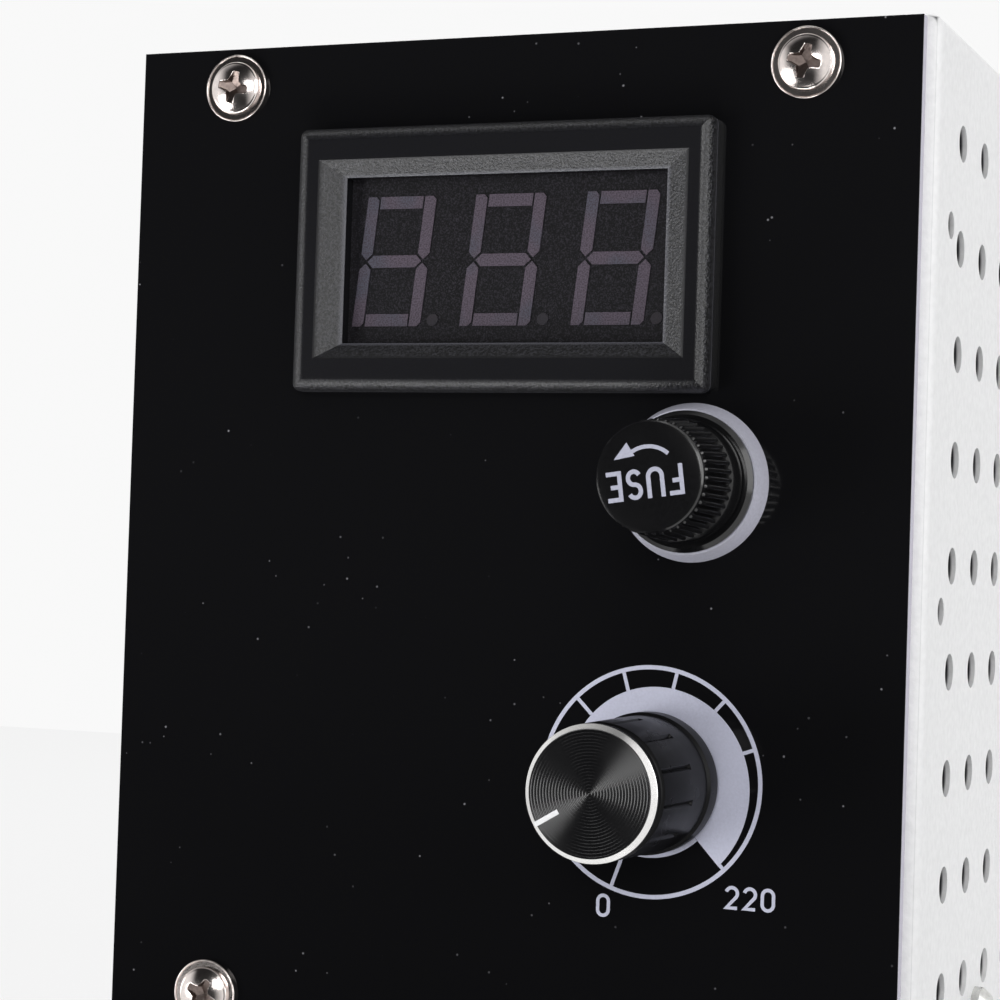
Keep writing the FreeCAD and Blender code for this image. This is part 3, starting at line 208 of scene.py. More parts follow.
def ribbon(path, width, y, thickness, closed=False):
    """A flat line of even width along (x, z) points: each point is set out by half the width along the mitre,
    which is the mean of the two runs' normals, lengthened by one over its cosine with either."""
    path = np.asarray(path, float)
    if closed:
        before, after = np.roll(path, 1, axis=0), np.roll(path, -1, axis=0)
    else:
        before = np.concatenate([2 * path[:1] - path[1:2], path[:-1]])
        after = np.concatenate([path[1:], 2 * path[-1:] - path[-2:-1]])
    run_in, run_out = path - before, after - path
    run_in /= np.linalg.norm(run_in, axis=1, keepdims=True)
    run_out /= np.linalg.norm(run_out, axis=1, keepdims=True)
    turn = np.array([[0.0, 1.0], [-1.0, 0.0]])
    normal_in, normal_out = run_in @ turn, run_out @ turn
    mitre = normal_in + normal_out
    mitre /= np.linalg.norm(mitre, axis=1, keepdims=True)
    mitre /= np.clip(np.sum(mitre * normal_in, axis=1, keepdims=True), LEAST_MITRE_COSINE, 1)
    edges = np.stack([path - mitre * width / 2, path + mitre * width / 2], axis=1)
    return slab(edges[..., 0], edges[..., 1], y, thickness, closed)


def arc(x, z, radius_x, radius_z, start, end, count):
    """Points on an ellipse about (x, z), from one angle to another in degrees, counted from +X towards +Z."""
    turn = np.radians(np.linspace(start, end, count))
    return np.stack([x + radius_x * np.cos(turn), z + radius_z * np.sin(turn)], axis=1)


def turned(radius, y, centre, count, turn=None):
    """A turned surface: radius is (rings, count) or (rings, 1), y is the place of each ring along the axis.
    The angles are even unless they are given."""
    if turn is None:
        turn = np.linspace(0, 2 * np.pi, count, endpoint=False)
    radius = np.broadcast_to(radius, (len(y), count))
    x = centre.x + radius * np.cos(turn)
    z = centre.z + radius * np.sin(turn)
    return np.stack([x, np.broadcast_to(np.asarray(y)[:, None], x.shape), z], axis=-1)


# Shader nodes

NOISE_LOW, NOISE_HIGH = 0.3, 0.7


def new_material(name):
    """A node material, its tree and its shader."""
    material = bpy.data.materials.new(name)
    material.use_nodes = True
    tree = material.node_tree
    return material, tree, tree.nodes["Principled BSDF"]


def feed(tree, node, **inputs):
    """Give a node's inputs values, or links where a socket is given. An input goes by its name, or by the
    letter i and its number."""
    for key, value in inputs.items():
        socket = node.inputs[int(key[1:]) if key[1:].isdigit() else key.replace("_", " ")]
        if isinstance(value, bpy.types.NodeSocket):
            tree.links.new(value, socket)
        else:
            socket.default_value = value


def add(tree, kind, settings=None, **inputs):
    """A node with its settings and inputs."""
    node = tree.nodes.new("ShaderNode" + kind)
    for key, value in (settings or {}).items():
        setattr(node, key, value)
    feed(tree, node, **inputs)
    return node


def worked(tree, operation, *values, kind="Math"):
    """The first output of a node that does arithmetic on numbers, or on vectors."""
    inputs = {f"i{number}": value for number, value in enumerate(values)}
    return add(tree, kind, {"operation": operation}, **inputs).outputs[0]


def place(tree, centre=(0, 0, 0), scale=(1, 1, 1)):
    """Object coordinates, moved so that the centre is at zero and stretched."""
    coordinates = add(tree, "TexCoord")
    shift = tuple(-c * s for c, s in zip(centre, scale))
    return add(tree, "Mapping", Vector=coordinates.outputs["Object"], Location=shift, Scale=scale).outputs[0]


def distance_behind(tree, y):
    """How far a place lies behind a front at y."""
    return add(tree, "SeparateXYZ", i0=place(tree, (0, y, 0))).outputs["Y"]


def box_distances(tree, node):
    """How far a place lies inside a solid's box, along x, y and z."""
    low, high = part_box(node)
    from_middle = worked(tree, "ABSOLUTE", place(tree, (low + high) / 2), kind="VectorMath")
    inside = worked(tree, "SUBTRACT", tuple((high - low) / 2), from_middle, kind="VectorMath")
    return add(tree, "SeparateXYZ", i0=inside).outputs


def noise(tree, vector, grain, detail=2.0):
    """Noise with lumps about one grain across."""
    return add(tree, "TexNoise", Vector=vector, Scale=1 / grain, Detail=detail).outputs["Fac"]


def spread(tree, value, low, high, from_low=NOISE_LOW, from_high=NOISE_HIGH):
    """A value carried from one range to another, and held at its ends. Noise mostly fills the first range."""
    inputs = {"Value": value, "From_Min": from_low, "From_Max": from_high, "To_Min": low, "To_Max": high}
    return add(tree, "MapRange", {"clamp": True}, **inputs).outputs[0]


def mixed(tree, factor, first, second):
    """One colour turning into another."""
    return add(tree, "Mix", {"data_type": "RGBA"}, Factor=factor, i6=first, i7=second).outputs[2]


def rgba(colour, share=1.0):
    """A colour with full alpha, lighter or darker by a share."""
    return tuple(min(1.0, c * share) for c in colour) + (1.0,)


# Case and front panel


def powder_coat(name="powder_coat", shaded_inside_node=None):
    """White powder coat: orange peel of two sizes, whose shade follows the coarser one. Where a solid is
    given, the coat turns near black below its outer skin: painted shade for the inside of the case, seen
    through its holes."""
    peel_size, fine_size, fine_share = 0.9 * MM, 0.3 * MM, 0.35
    relief, relief_strength = 0.1 * MM, 0.7
    skin, inside_shade_full = 0.42 * MM, 0.65 * MM
    inside_shade = (0.02, 0.02, 0.024, 1)
    material, tree, shader = new_material(name)
    where = place(tree)
    peel = noise(tree, where, peel_size)
    fine = noise(tree, where, fine_size)
    height = worked(tree, "MULTIPLY_ADD", fine, fine_share, peel)
    bump = add(tree, "Bump", Height=height, Distance=relief, Strength=relief_strength).outputs[0]
    base = colours().powder_coat
    tone = mixed(tree, spread(tree, peel, 0, 1), rgba(base, 0.95), rgba(base, 1.03))
    # Painted shade: below the outer skin the coat turns near black, standing in for the shaded inside of the
    # case
    if shaded_inside_node:
        x, y, z = box_distances(tree, shaded_inside_node)
        depth = worked(tree, "MINIMUM", worked(tree, "MINIMUM", x, y), z)
        tone = mixed(tree, spread(tree, depth, 0, 1, skin, inside_shade_full), tone, inside_shade)
    feed(tree, shader, Base_Color=tone, Roughness=spread(tree, fine, 0.36, 0.5), Normal=bump)
    return material


def gloss_acrylic():
    """A sheet with a gloss black face and pale sawn edges, and a scatter of specks: the middles of a cell
    pattern, kept only where noise is high."""
    cell, speck_in, speck_out = 2.1 * MM, 0.045, 0.07
    patch_size, patch_from, patch_full = 9 * MM, 0.5, 0.62
    cloud_size = 22 * MM
    face_depth, rim_from = 0.08 * MM, 0.2 * MM
    speck_colour = (0.17, 0.17, 0.18, 1)
    material, tree, shader = new_material("gloss_acrylic")
    where = place(tree)
    cells = add(tree, "TexVoronoi", Vector=where, Scale=1 / cell, Randomness=1.0).outputs["Distance"]
    specks = spread(tree, cells, 1, 0, speck_in, speck_out)
    patches = spread(tree, noise(tree, where, patch_size), 0, 1, patch_from, patch_full)
    dusty = worked(tree, "MULTIPLY", specks, patches)
    tone = mixed(tree, dusty, rgba(colours().acrylic), speck_colour)
    rim = spread(tree, distance_behind(tree, PANEL_Y), 0, 1, face_depth, rim_from)
    tone = mixed(tree, rim, tone, rgba(colours().acrylic_rim))
    cloud = spread(tree, noise(tree, where, cloud_size), 0.05, 0.09)
    feed(tree, shader, Base_Color=tone, Roughness=cloud, Specular_IOR_Level=0.14)
    return material


# Meter


def meter_moulding():
    """Black moulding: a smooth front, and a spark-eroded grain on its roundings and on the slopes of its
    recess. Towards the window the slopes are painted much lighter, a painted highlight along the recess's
    inner lip. How far a place lies behind the front tells them apart.
    Near the front's outer edges the shading falls away along a parabola, as on a broad rounding."""
    round_width, round_fall = 1.5 * MM, 0.675 * MM
    front_depth, slope_from = 0.04 * MM, 0.3 * MM
    slope_end, back_from = 1.6 * MM, 1.68 * MM
    lip_highlight_from, lip_highlight_full = 1.3 * MM, 1.55 * MM
    grain_size, grain_height, pit_below, peak_above = 0.26 * MM, 0.12 * MM, 0.44, 0.58
    outer_from, outer_full = 0.1, 0.5
    material, tree, shader = new_material("meter_abs")
    base = colours().bezel
    across, _, rise = box_distances(tree, "meter_housing")
    to_edge = worked(tree, "MINIMUM", across, rise)
    rounding = spread(tree, to_edge, 1, 0, 0, round_width)
    fall = worked(tree, "POWER", rounding, 2.0)
    rounded = add(tree, "Bump", {"invert": True}, Height=fall, Distance=round_fall, Strength=1.0).outputs[0]
    behind = distance_behind(tree, METER_FRONT_Y)
    sloped = spread(tree, behind, 0, 1, front_depth, slope_from)
    outer = spread(tree, rounding, 0, 1, outer_from, outer_full)
    before_back = spread(tree, behind, 1, 0, slope_end, back_from)
    grained = worked(tree, "MULTIPLY", worked(tree, "MAXIMUM", sloped, outer), before_back)
    grain = noise(tree, place(tree), grain_size)
    smooth = mixed(tree, spread(tree, grain, 0, 1), rgba(base, 0.85), rgba(base, 1.1))
    peaks = spread(tree, grain, 0, 1, pit_below, peak_above)
    rough = mixed(tree, peaks, rgba(base, 0.4), rgba(base, 3))
    # Painted highlight: the slopes turn much lighter towards the window's inner lip
    rough = mixed(tree, spread(tree, behind, 0, 1, lip_highlight_from, lip_highlight_full), rough, rgba(base, 9))
    bump = add(tree, "Bump", Height=grain, Distance=grain_height, Strength=grained, Normal=rounded).outputs[0]
    feed(tree, shader, Base_Color=mixed(tree, grained, smooth, rough), Normal=bump,
         Roughness=spread(tree, grained, 0.25, 0.42, 0, 1),
         Specular_IOR_Level=spread(tree, grained, 0.25, 0.75, 0, 1))
    return material


def display_face():
    """Dark tinted face of the display, with a fine speckle."""
    speckle_size, fleck_from, fleck_full = 0.16 * MM, 0.48, 0.68
    material, tree, shader = new_material("display_epoxy")
    base = colours().display
    speckle = noise(tree, place(tree), speckle_size)
    flecks = spread(tree, speckle, 0, 1, fleck_from, fleck_full)
    tone = mixed(tree, flecks, rgba(base, 0.5), rgba(base, 3.5))
    feed(tree, shader, Base_Color=tone, Roughness=spread(tree, speckle, 0.45, 0.6), Specular_IOR_Level=0.18)
    return material


def display_bars():
    """Unlit bars, from grey to mauve in patches, and fainter points, found by their distance from the middle
    of the nearest point in the row."""
    patch_size, patch_full = 4.5 * MM, 0.5
    speckle_size, fleck_from, fleck_full, fleck_share = 0.17 * MM, 0.42, 0.62, 0.85
    point_from_meter = Vector((4.36, 0, -6.52)) * MM
    point_r, point_edge, digit_step = 0.85 * MM, 0.05 * MM, 12.9 * MM
    material, tree, shader = new_material("segment_epoxy")
    where = place(tree)
    patch = spread(tree, noise(tree, where, patch_size, 1.0), 0, 1, NOISE_LOW, patch_full)
    speckle = spread(tree, noise(tree, where, speckle_size), 0, fleck_share, fleck_from, fleck_full)
    base = colours().segment
    grey = (base[1], base[1], base[2])
    tone = mixed(tree, patch, rgba(grey), rgba(base))
    tone = mixed(tree, speckle, tone, rgba(base, 0.45))
    across, _, rise = add(tree, "SeparateXYZ", i0=place(tree, METER + point_from_meter)).outputs
    across = worked(tree, "WRAP", across, digit_step / 2, -digit_step / 2)
    offset = add(tree, "CombineXYZ", X=across, Z=rise).outputs[0]
    away = add(tree, "VectorMath", {"operation": "LENGTH"}, i0=offset).outputs["Value"]
    point = spread(tree, away, 0.8, 0, point_r, point_r + point_edge)
    tone = mixed(tree, point, tone, rgba(colours().display))
    feed(tree, shader, Base_Color=tone, Roughness=spread(tree, patch, 0.5, 0.6, 0, 1), Specular_IOR_Level=0.3)
    return material


# Plain finishes, by colour, roughness, grain and relief in millimetres, and how far the shade strays

BROAD_GRAINS = 14
ROUGHNESS_STRAY = 0.15

PLAIN_FINISHES = {
    "washer_nylon": dict(colour="washer", roughness=0.45, grain=0.3, relief=0.02, shade=0.08),
    "nickel_screw": dict(colour="nickel", roughness=0.17, grain=0.5, shade=0.08, Metallic=1.0),
    "zinc_fastener": dict(colour=(0.62, 0.62, 0.60), roughness=0.3, grain=0.4, relief=0.01, Metallic=1.0),
    "foot_rubber": dict(colour=(0.022, 0.022, 0.022), roughness=0.75, grain=0.3, relief=0.04, shade=0.25),
    "circuit_board": dict(colour=(0.02, 0.13, 0.05), roughness=0.35, grain=0.8, relief=0.02, shade=0.2),
    "black_phenolic": dict(colour="moulding", roughness=0.17, grain=0.3, shade=0.3, IOR=1.56),
    "black_nylon": dict(colour=(0.02, 0.02, 0.021), roughness=0.5, grain=0.25, relief=0.03, shade=0.25),
    "terminal_brass": dict(colour=(0.72, 0.6, 0.36), roughness=0.3, grain=0.3, shade=0.1, Metallic=1.0),
    "fuse_end": dict(colour=(0.76, 0.75, 0.73), roughness=0.2, grain=0.3, shade=0.06, Metallic=1.0),
    "core_plastic": dict(colour=(0.03, 0.03, 0.03), roughness=0.55, grain=0.3, relief=0.02, shade=0.2),
    "control_steel": dict(colour=(0.6, 0.6, 0.58), roughness=0.32, grain=0.5, shade=0.08, Metallic=1.0),
    "plate_aluminium": dict(colour=(0.55, 0.55, 0.56), roughness=0.5, grain=0.35, relief=0.01, shade=0.07,
                            stretch=(1, 0.04, 1), Metallic=1.0),
    "heater_steel": dict(colour=(0.5, 0.49, 0.48), roughness=0.35, grain=0.3, shade=0.1, Metallic=1.0),
    "post_ceramic": dict(colour=(0.8, 0.77, 0.7), roughness=0.35, grain=0.5, relief=0.01, shade=0.05),
    "fibre_board": dict(colour=(0.74, 0.7, 0.62), roughness=0.95, grain=0.6, relief=0.2, shade=0.1),
    "zinc_sheet": dict(colour=(0.6, 0.61, 0.62), roughness=0.4, grain=2.5, shade=0.16, Metallic=1.0),
    "brown_phenolic": dict(colour=(0.1, 0.045, 0.02), roughness=0.4, grain=0.4, shade=0.25),
    "board_nylon": dict(colour=(0.75, 0.74, 0.7), roughness=0.5, grain=0.4, shade=0.05),
    "chip_epoxy": dict(colour=(0.02, 0.02, 0.02), roughness=0.55, grain=0.2, relief=0.03, shade=0.3),
    "film_box": dict(colour=(0.5, 0.34, 0.05), roughness=0.4, grain=0.4, shade=0.1),
    "terminal_green": dict(colour=(0.03, 0.2, 0.08), roughness=0.45, grain=0.3, shade=0.12),
    "black_aluminium": dict(colour="knob", roughness=0.3, grain=0.3, shade=0.2, Specular_IOR_Level=0.09),
    "fuse_glass": dict(colour=(0.9, 0.93, 0.93), roughness=0.06, grain=3.0, shade=0.03,
                       Transmission_Weight=0.9, IOR=1.5),
    # Screen-printed ink, and stamped ink that is a little greyer
    "print_ink": dict(colour="ink", roughness=0.5, grain=0.25, relief=0.01, shade=0.06),
    "cap_ink": dict(colour="ink", share=0.68, roughness=0.5, grain=0.25, relief=0.01, shade=0.1),
    # The knob's bright bevel, its gloss face and the silver paint in its pointer
    "bright_cut": dict(colour=(0.86, 0.85, 0.84), roughness=0.22, grain=0.25, shade=0.06, Metallic=1.0),
    "knob_face": dict(colour="knob", roughness=0.2, grain=0.3, shade=0.2, Specular_IOR_Level=0.34),
    "pointer_paint": dict(colour=(0.74, 0.74, 0.75), roughness=0.35, grain=0.2, relief=0.01, shade=0.06),
    # Darker, brownish plating inside the screws' crosses
    "screw_recess": dict(colour=(0.20, 0.16, 0.145), roughness=0.3, grain=0.3, relief=0.02, shade=0.25,
                         Metallic=1.0),
}


def varied(name, colour, roughness, grain, relief=0.0, shade=0.12, share=1.0, stretch=(1, 1, 1), **sockets):
    """A finish whose shade, roughness and relief follow noise of one grain, stretched where it was brushed or
    rolled. The colour is an RGB or the name of one in the sidebar, taken by a share. Values that are the same
    all over go straight to the shader."""
    if isinstance(colour, str):
        colour = getattr(colours(), colour)
    colour = rgba(colour, share)[:3]
    material, tree, shader = new_material(name)
    where = place(tree, scale=stretch)
    fine = noise(tree, where, grain * MM, 3.0)
    broad = noise(tree, where, grain * BROAD_GRAINS * MM)
    tone = mixed(tree, spread(tree, fine, 0, 1), rgba(colour, 1 - shade), rgba(colour, 1 + shade))
    tone = mixed(tree, spread(tree, broad, 0, 0.5), tone, rgba(colour, 1 - shade / 2))
    smoothest, roughest = roughness * (1 - ROUGHNESS_STRAY), min(1, roughness * (1 + ROUGHNESS_STRAY))
    feed(tree, shader, Base_Color=tone, Roughness=spread(tree, broad, smoothest, roughest), **sockets)
    if relief:
        bump = add(tree, "Bump", Height=fine, Distance=relief * MM, Strength=1.0).outputs[0]
        feed(tree, shader, Normal=bump)
    return material


OWN_FINISHES = {
    "powder_coat": powder_coat,
    "gloss_acrylic": gloss_acrylic,
    "meter_abs": meter_moulding,
    "display_epoxy": display_face,
    "segment_epoxy": display_bars,
}
made = {}


def finish(name):
    """A finish by its name, made once."""
    if name not in made:
        made[name] = OWN_FINISHES[name]() if name in OWN_FINISHES else varied(name, **PLAIN_FINISHES[name])
    return made[name]


class HEATER_OT_finishes(bpy.types.Operator):
    """Give every solid of the heater its finish"""

    bl_idname = "heater.finishes"
    bl_label = "Finishes"

    def execute(self, context):
        for row in frame["record"]["subparts"]:
            mesh = frame["nodes"][row["node"]].data
            mesh.materials.clear()
            mesh.materials.append(finish(row["material_slot"]))
        # The shell's inside gets painted shade, near black below its outer skin
        shell = frame["nodes"]["shell"].data
        shell.materials[0] = powder_coat("powder_coat_outside", "shell")
        return {"FINISHED"}


# Dial, with its angles in degrees from +X towards +Z

ZERO_AT = 250.5
FULL_AT = -47.0
TICK_STEP = 28.9
TICKS = 9
LAST_TICK_AT = FULL_AT + 1.05
ARC_GAP = 0.3
PRINT_X = DIAL.x - 0.2 * MM
RING_POINTS = 192
WEDGE_POINTS = 160
ARC_POINTS = 40
TICK_SHARE = 0.85
TICK_GAP = 0.01 * MM
ZERO_FIGURE = (-5.75 * MM, -14.45 * MM)
FULL_FIGURE = (8.3 * MM, -12.6 * MM)
FIGURE_GAP = 0.38 * MM
HOOK_FROM, HOOK_TO = 165, -38
NOUGHT_POINTS, HOOK_POINTS, FOOT_INSET = 17, 21, 0.1


class HEATER_OT_dial(bpy.types.Operator):
    """Print the power dial: ring, growing wedge, ticks and figures"""

    bl_idname = "heater.dial"
    bl_label = "Dial print"

    def execute(self, context):
        s = sizes()
        y = PANEL_Y - s.ink
        parts = [self.ring(s, y), self.wedge(s, y), self.inner_arc(s, y)]
        angles = [ZERO_AT - TICK_STEP * i for i in range(TICKS)] + [LAST_TICK_AT]
        parts += [self.tick(s, y, angle) for angle in angles]
        build_piece("dial_print", parts, [finish("print_ink")], "case")
        strokes = figure_strokes("0", *ZERO_FIGURE) + figure_strokes("220", *FULL_FIGURE)
        middle = [DIAL.x, DIAL.z]
        figures = [ribbon(path + middle, s.figure_line, y, s.ink, closed) for path, closed in strokes]
        build_piece("dial_figures", figures, [finish("print_ink")], "case")
        return {"FINISHED"}

    def ring(self, s, y):
        """The outer ring: a line of even width along a circle."""
        path = arc(PRINT_X, DIAL.z, s.ring_r, s.ring_r, 0, 360, RING_POINTS + 1)[:-1]
        return ribbon(path, s.ring_w, y, s.ink, True)

    def wedge_edge(self, s, angle):
        """The wedge's outer radius, which grows evenly with the angle from zero to full."""
        share = (ZERO_AT - angle) / (ZERO_AT - FULL_AT)
        return s.wedge_low + (s.wedge_high - s.wedge_low) * share

    def wedge(self, s, y):
        """The wedge: radius runs from the inner edge to the growing outer edge at each angle."""
        angle = np.linspace(ZERO_AT, FULL_AT, WEDGE_POINTS)[:, None]
        share = np.linspace(0, 1, 3)[None, :]
        radius = s.wedge_in + (self.wedge_edge(s, angle) - s.wedge_in) * share
        turn = np.radians(angle)
        return slab(PRINT_X + radius * np.cos(turn), DIAL.z + radius * np.sin(turn), y, s.ink)

    def inner_arc(self, s, y):
        """The arc that goes on from the wedge's inner edge towards zero."""
        radius = s.wedge_in + s.arc_w / 2
        path = arc(PRINT_X, DIAL.z, radius, radius, FULL_AT - ARC_GAP, ZERO_AT - 360 + ARC_GAP, ARC_POINTS)
        return ribbon(path, s.arc_w, y, s.ink)

    def tick(self, s, y, angle):
        """A tick from just outside the wedge to just inside the ring."""
        ends = np.array([self.wedge_edge(s, angle) + TICK_GAP, s.ring_r - s.ring_w / 2 - TICK_GAP])
        turn = np.radians(angle)
        path = np.stack([PRINT_X + ends * np.cos(turn), DIAL.z + ends * np.sin(turn)], axis=1)
        return ribbon(path, s.ring_w * TICK_SHARE, y, s.ink)


def figure_strokes(text, x, z):
    """Plain drawn figures with their left foot at (x, z): paths and whether each is closed. A nought is an
    oval, and a two is an arc of about 200 degrees that leaves along a straight slope to its foot."""
    s = sizes()
    line = s.figure_line
    width, height = s.figure_w - line, s.figure_h - line
    r = width / 2
    foot = z + line / 2
    strokes = []
    for number, figure in enumerate(text):
        left = x + number * (s.figure_w + FIGURE_GAP) + line / 2
        middle = left + r
        if figure == "0":
            top = arc(middle, foot + height - r, r, r, 0, 180, NOUGHT_POINTS)
            bottom = arc(middle, foot + r, r, r, 180, 360, NOUGHT_POINTS)
            strokes.append((np.concatenate([top, bottom]), True))
        else:
            hook = arc(middle, foot + height - r, r, r, HOOK_FROM, HOOK_TO, HOOK_POINTS)
            base = np.array([[left + line * FOOT_INSET, foot], [left + width, foot]])
            strokes.append((np.concatenate([hook, base]), False))
    return strokes


# Fuse cap, with its letters' widths in millimetres and its angles in degrees

CAP_TURN = 188.0
CAP_WORD = {"F": 1.55, "U": 1.88, "S": 1.68, "E": 1.62}
CAP_GAP = 0.45
CAP_WORD_AT = (-0.33 * MM, -0.7 * MM)
MIDDLE_BAR_AT, MIDDLE_BAR_REACH, S_FROM = 0.52, 0.85, 25
BOWL_POINTS, CURVE_POINTS, SHAFT_POINTS = 17, 19, 24
ARROW_DROP = 0.2 * MM
ARROW_FROM, ARROW_NECK, ARROW_TIP = 52.0, 124.5, 155.0
BARB_IN, BARB_OUT, TIP_OUT = 0.5 * MM, 1.1 * MM, 0.92 * MM
SHAFT_SHARE, TIP_BLUNT = 0.9, 0.02
CAP_FACE_R = 5.65 * MM
CAP_LIFT = 0.3 * MM
GRIP_FROM_FACE, GRIP_FROM_BASE, GRIP_LEAD = 1.1 * MM, 3.0 * MM, 0.25 * MM
GRIP_STEP, GRIP_TAPER, GRIP_ROWS = 0.1 * MM, 0.45 * MM, 9
COLLAR_CHAMFER = 0.15 * MM
PLUG_R, BORE_R, BORE_DEPTH = 4.0 * MM, 2.75 * MM, 4.4 * MM
CAP_RIBS, RIB_POINTS, RIB_DEPTH, RIB_MIDDLE = 42, 12, 0.42 * MM, 0.75
CAP_CREASE = 0.5
# Roundings in millimetres, (outwards, backwards): of the face's edge, and from the grip's end to the collar
CAP_EDGE = ((-0.42, 0.0), (-0.16, 0.05), (0.0, 0.28))
CAP_SHOULDER = ((-0.55, 0.15), (-0.2, 0.3), (0.0, 0.7))


class HEATER_OT_fuse_cap(bpy.types.Operator):
    """Make the fuse cap with its ribs, letters and arrow"""

    bl_idname = "heater.fuse_cap"
    bl_label = "Fuse cap"

    def execute(self, context):
        self.body()
        s = sizes()
        y = FUSE_FACE_Y - s.ink
        strokes = [self.turned_over(path) for path in self.letters(s)]
        parts = [ribbon(path, s.letter_line, y, s.ink) for path in strokes] + self.arrow(s, y)
        build_piece("fuse_cap_print", parts, [finish("cap_ink")], "fuse_cap")
        return {"FINISHED"}

    def outline(self):
        """Rings of (radius, y, ribbed) from the face's middle round the outside into the bore."""
        low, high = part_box("fuse_cap")
        face, front = CAP_FACE_R, FUSE_FACE_Y
        collar = (high.x - low.x) / 2
        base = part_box("fuse_holder")[0].y - CAP_LIFT
        grip_front, grip_back = front + GRIP_FROM_FACE, base - GRIP_FROM_BASE
        rows = [(0, front, 0), (face / 2, front, 0)]
        rows += [(face + out * MM, front + back * MM, 0) for out, back in CAP_EDGE]
        rows.append((face, grip_front - GRIP_LEAD, 0))
        for share in np.linspace(0, 1, GRIP_ROWS):
            y = grip_front + (grip_back - grip_front) * share
            rows.append((face + GRIP_STEP + GRIP_TAPER * share, y, 1))
        rows += [(collar + out * MM, grip_back + back * MM, 0) for out, back in CAP_SHOULDER]
        rows += [(collar, base - COLLAR_CHAMFER, 0), (collar - COLLAR_CHAMFER, base, 0), (PLUG_R, base, 0)]
        rows += [(PLUG_R, high.y, 0), (BORE_R, high.y, 0)]
        rows += [(BORE_R, base + BORE_DEPTH, 0), (0, base + BORE_DEPTH, 0)]
        return rows

    def body(self):
        """A turned cap: along the grip, the radius ripples once for each rib, by the size of a cosine."""
        rows = self.outline()
        radius, y, ribbed = (np.array(column, float) for column in zip(*rows))
        count = CAP_RIBS * RIB_POINTS
        turn = np.linspace(0, 2 * np.pi, count, endpoint=False)
        wave = np.abs(np.cos(turn * CAP_RIBS / 2)) - RIB_MIDDLE
        grid = turned(radius[:, None] + RIB_DEPTH * ribbed[:, None] * wave, y, FUSE, count)
        part = (grid, grid_quads(len(rows), count, False, True).tolist(), 0)
        build_piece("fuse_cap_moulding", [part], [finish("black_phenolic")], "fuse_cap",
                    CAP_CREASE, "fuse_cap")

    def letters(self, s):
        """F, U, S and E as strokes about the middle of the word, upright."""
        line = s.letter_line
        h = s.letter_h - line
        edge = line / 2
        left = -(sum(CAP_WORD.values()) + CAP_GAP * (len(CAP_WORD) - 1)) / 2 * MM
        z = -h / 2
        paths = []
        for letter, width in CAP_WORD.items():
            w = width * MM - line
            x = left + edge
            left += (width + CAP_GAP) * MM
            if letter in "FE":
                paths.append([[x, z - edge], [x, z + h + edge]])
                bars = [h, h * MIDDLE_BAR_AT] + ([0] if letter == "E" else [])
                for rise in bars:
                    reach = w + edge if rise in (0, h) else w * MIDDLE_BAR_REACH
                    paths.append([[x + edge, z + rise], [x + reach, z + rise]])
            elif letter == "U":
                r = w / 2
                bowl = arc(x + r, z + r, r, r, 180, 360, BOWL_POINTS)
                paths.append(np.concatenate([[[x, z + h + edge]], bowl, [[x + w, z + h + edge]]]))
            else:
                r = h / 4
                upper = arc(x + w / 2, z + h - r, w / 2, r, S_FROM, 270, CURVE_POINTS)
                lower = arc(x + w / 2, z + r, w / 2, r, 90, S_FROM - 180, CURVE_POINTS)
                paths.append(np.concatenate([upper, lower[1:]]))
        return [np.asarray(path, float) for path in paths]

    def turned_over(self, path):
        """A path of the word turned with the cap and set beside its middle."""
        turn = np.radians(CAP_TURN)
        spin = np.array([[np.cos(turn), np.sin(turn)], [-np.sin(turn), np.cos(turn)]])
        return path @ spin + [FUSE.x + CAP_WORD_AT[0], FUSE.z + CAP_WORD_AT[1]]

    def arrow(self, s, y):
        """A bowed arrow: an arc and a flat head that points on along the turn."""
        x, z = FUSE.x, FUSE.z - ARROW_DROP
        shaft = arc(x, z, s.arrow_r, s.arrow_r, ARROW_FROM, ARROW_NECK, SHAFT_POINTS)
        neck, tip = np.radians(ARROW_NECK), np.radians(ARROW_TIP)
        across = np.array([s.arrow_r - BARB_IN, s.arrow_r + BARB_OUT])
        base = np.stack([x + across * np.cos(neck), z + across * np.sin(neck)], axis=1)
        tip_r = s.arrow_r + TIP_OUT
        point = np.array([[x + tip_r * np.cos(tip), z + tip_r * np.sin(tip)]])
        end = point + (base - point) * TIP_BLUNT
        head = np.stack([base, end])
        return [ribbon(shaft, s.letter_line * SHAFT_SHARE, y, s.ink),
                slab(head[..., 0], head[..., 1], y, s.ink)]


# Knob, with its angles in degrees

POINTER_AT = 211.0
FLUTES, FLUTE_PHASE, FLUTE_HALF, FLUTE_DEPTH = 12, 20.0, 2.6, 0.32 * MM
FLUTE_POINTS, LAND_POINTS = 7, 12
KNOB_FACE_R = 6.35 * MM
MARK_ROWS = 10
KNOB_CREASE = 0.32
# Outline of the side in millimetres: radius, and distance behind the face
BEVEL = ((6.38, 0.0), (6.86, 0.42), (6.9, 0.5))
NECK = ((6.9, 1.0), (6.86, 1.1), (6.6, 1.25), (6.6, 2.35), (6.72, 2.5), (6.92, 2.62))
GRIP_LIP, GRIP_TOP, GRIP_END, KNOB_GRIP_ROWS = (6.93, 2.75), (6.93, 2.95), (7.04, 11.15), 18
FOOT = ((7.045, 11.45), (7.08, 15.5), (7.1, 15.7), (7.38, 16.05), (7.4, 16.2))
FOOT_CHAMFER, INSIDE_FOOT_R, INSIDE_TOP_R, KNOB_FACE_T = 0.1, 6.3, 5.8, 1.4
PLAIN_METAL, BRIGHT_METAL, FACE_METAL = 0, 1, 2


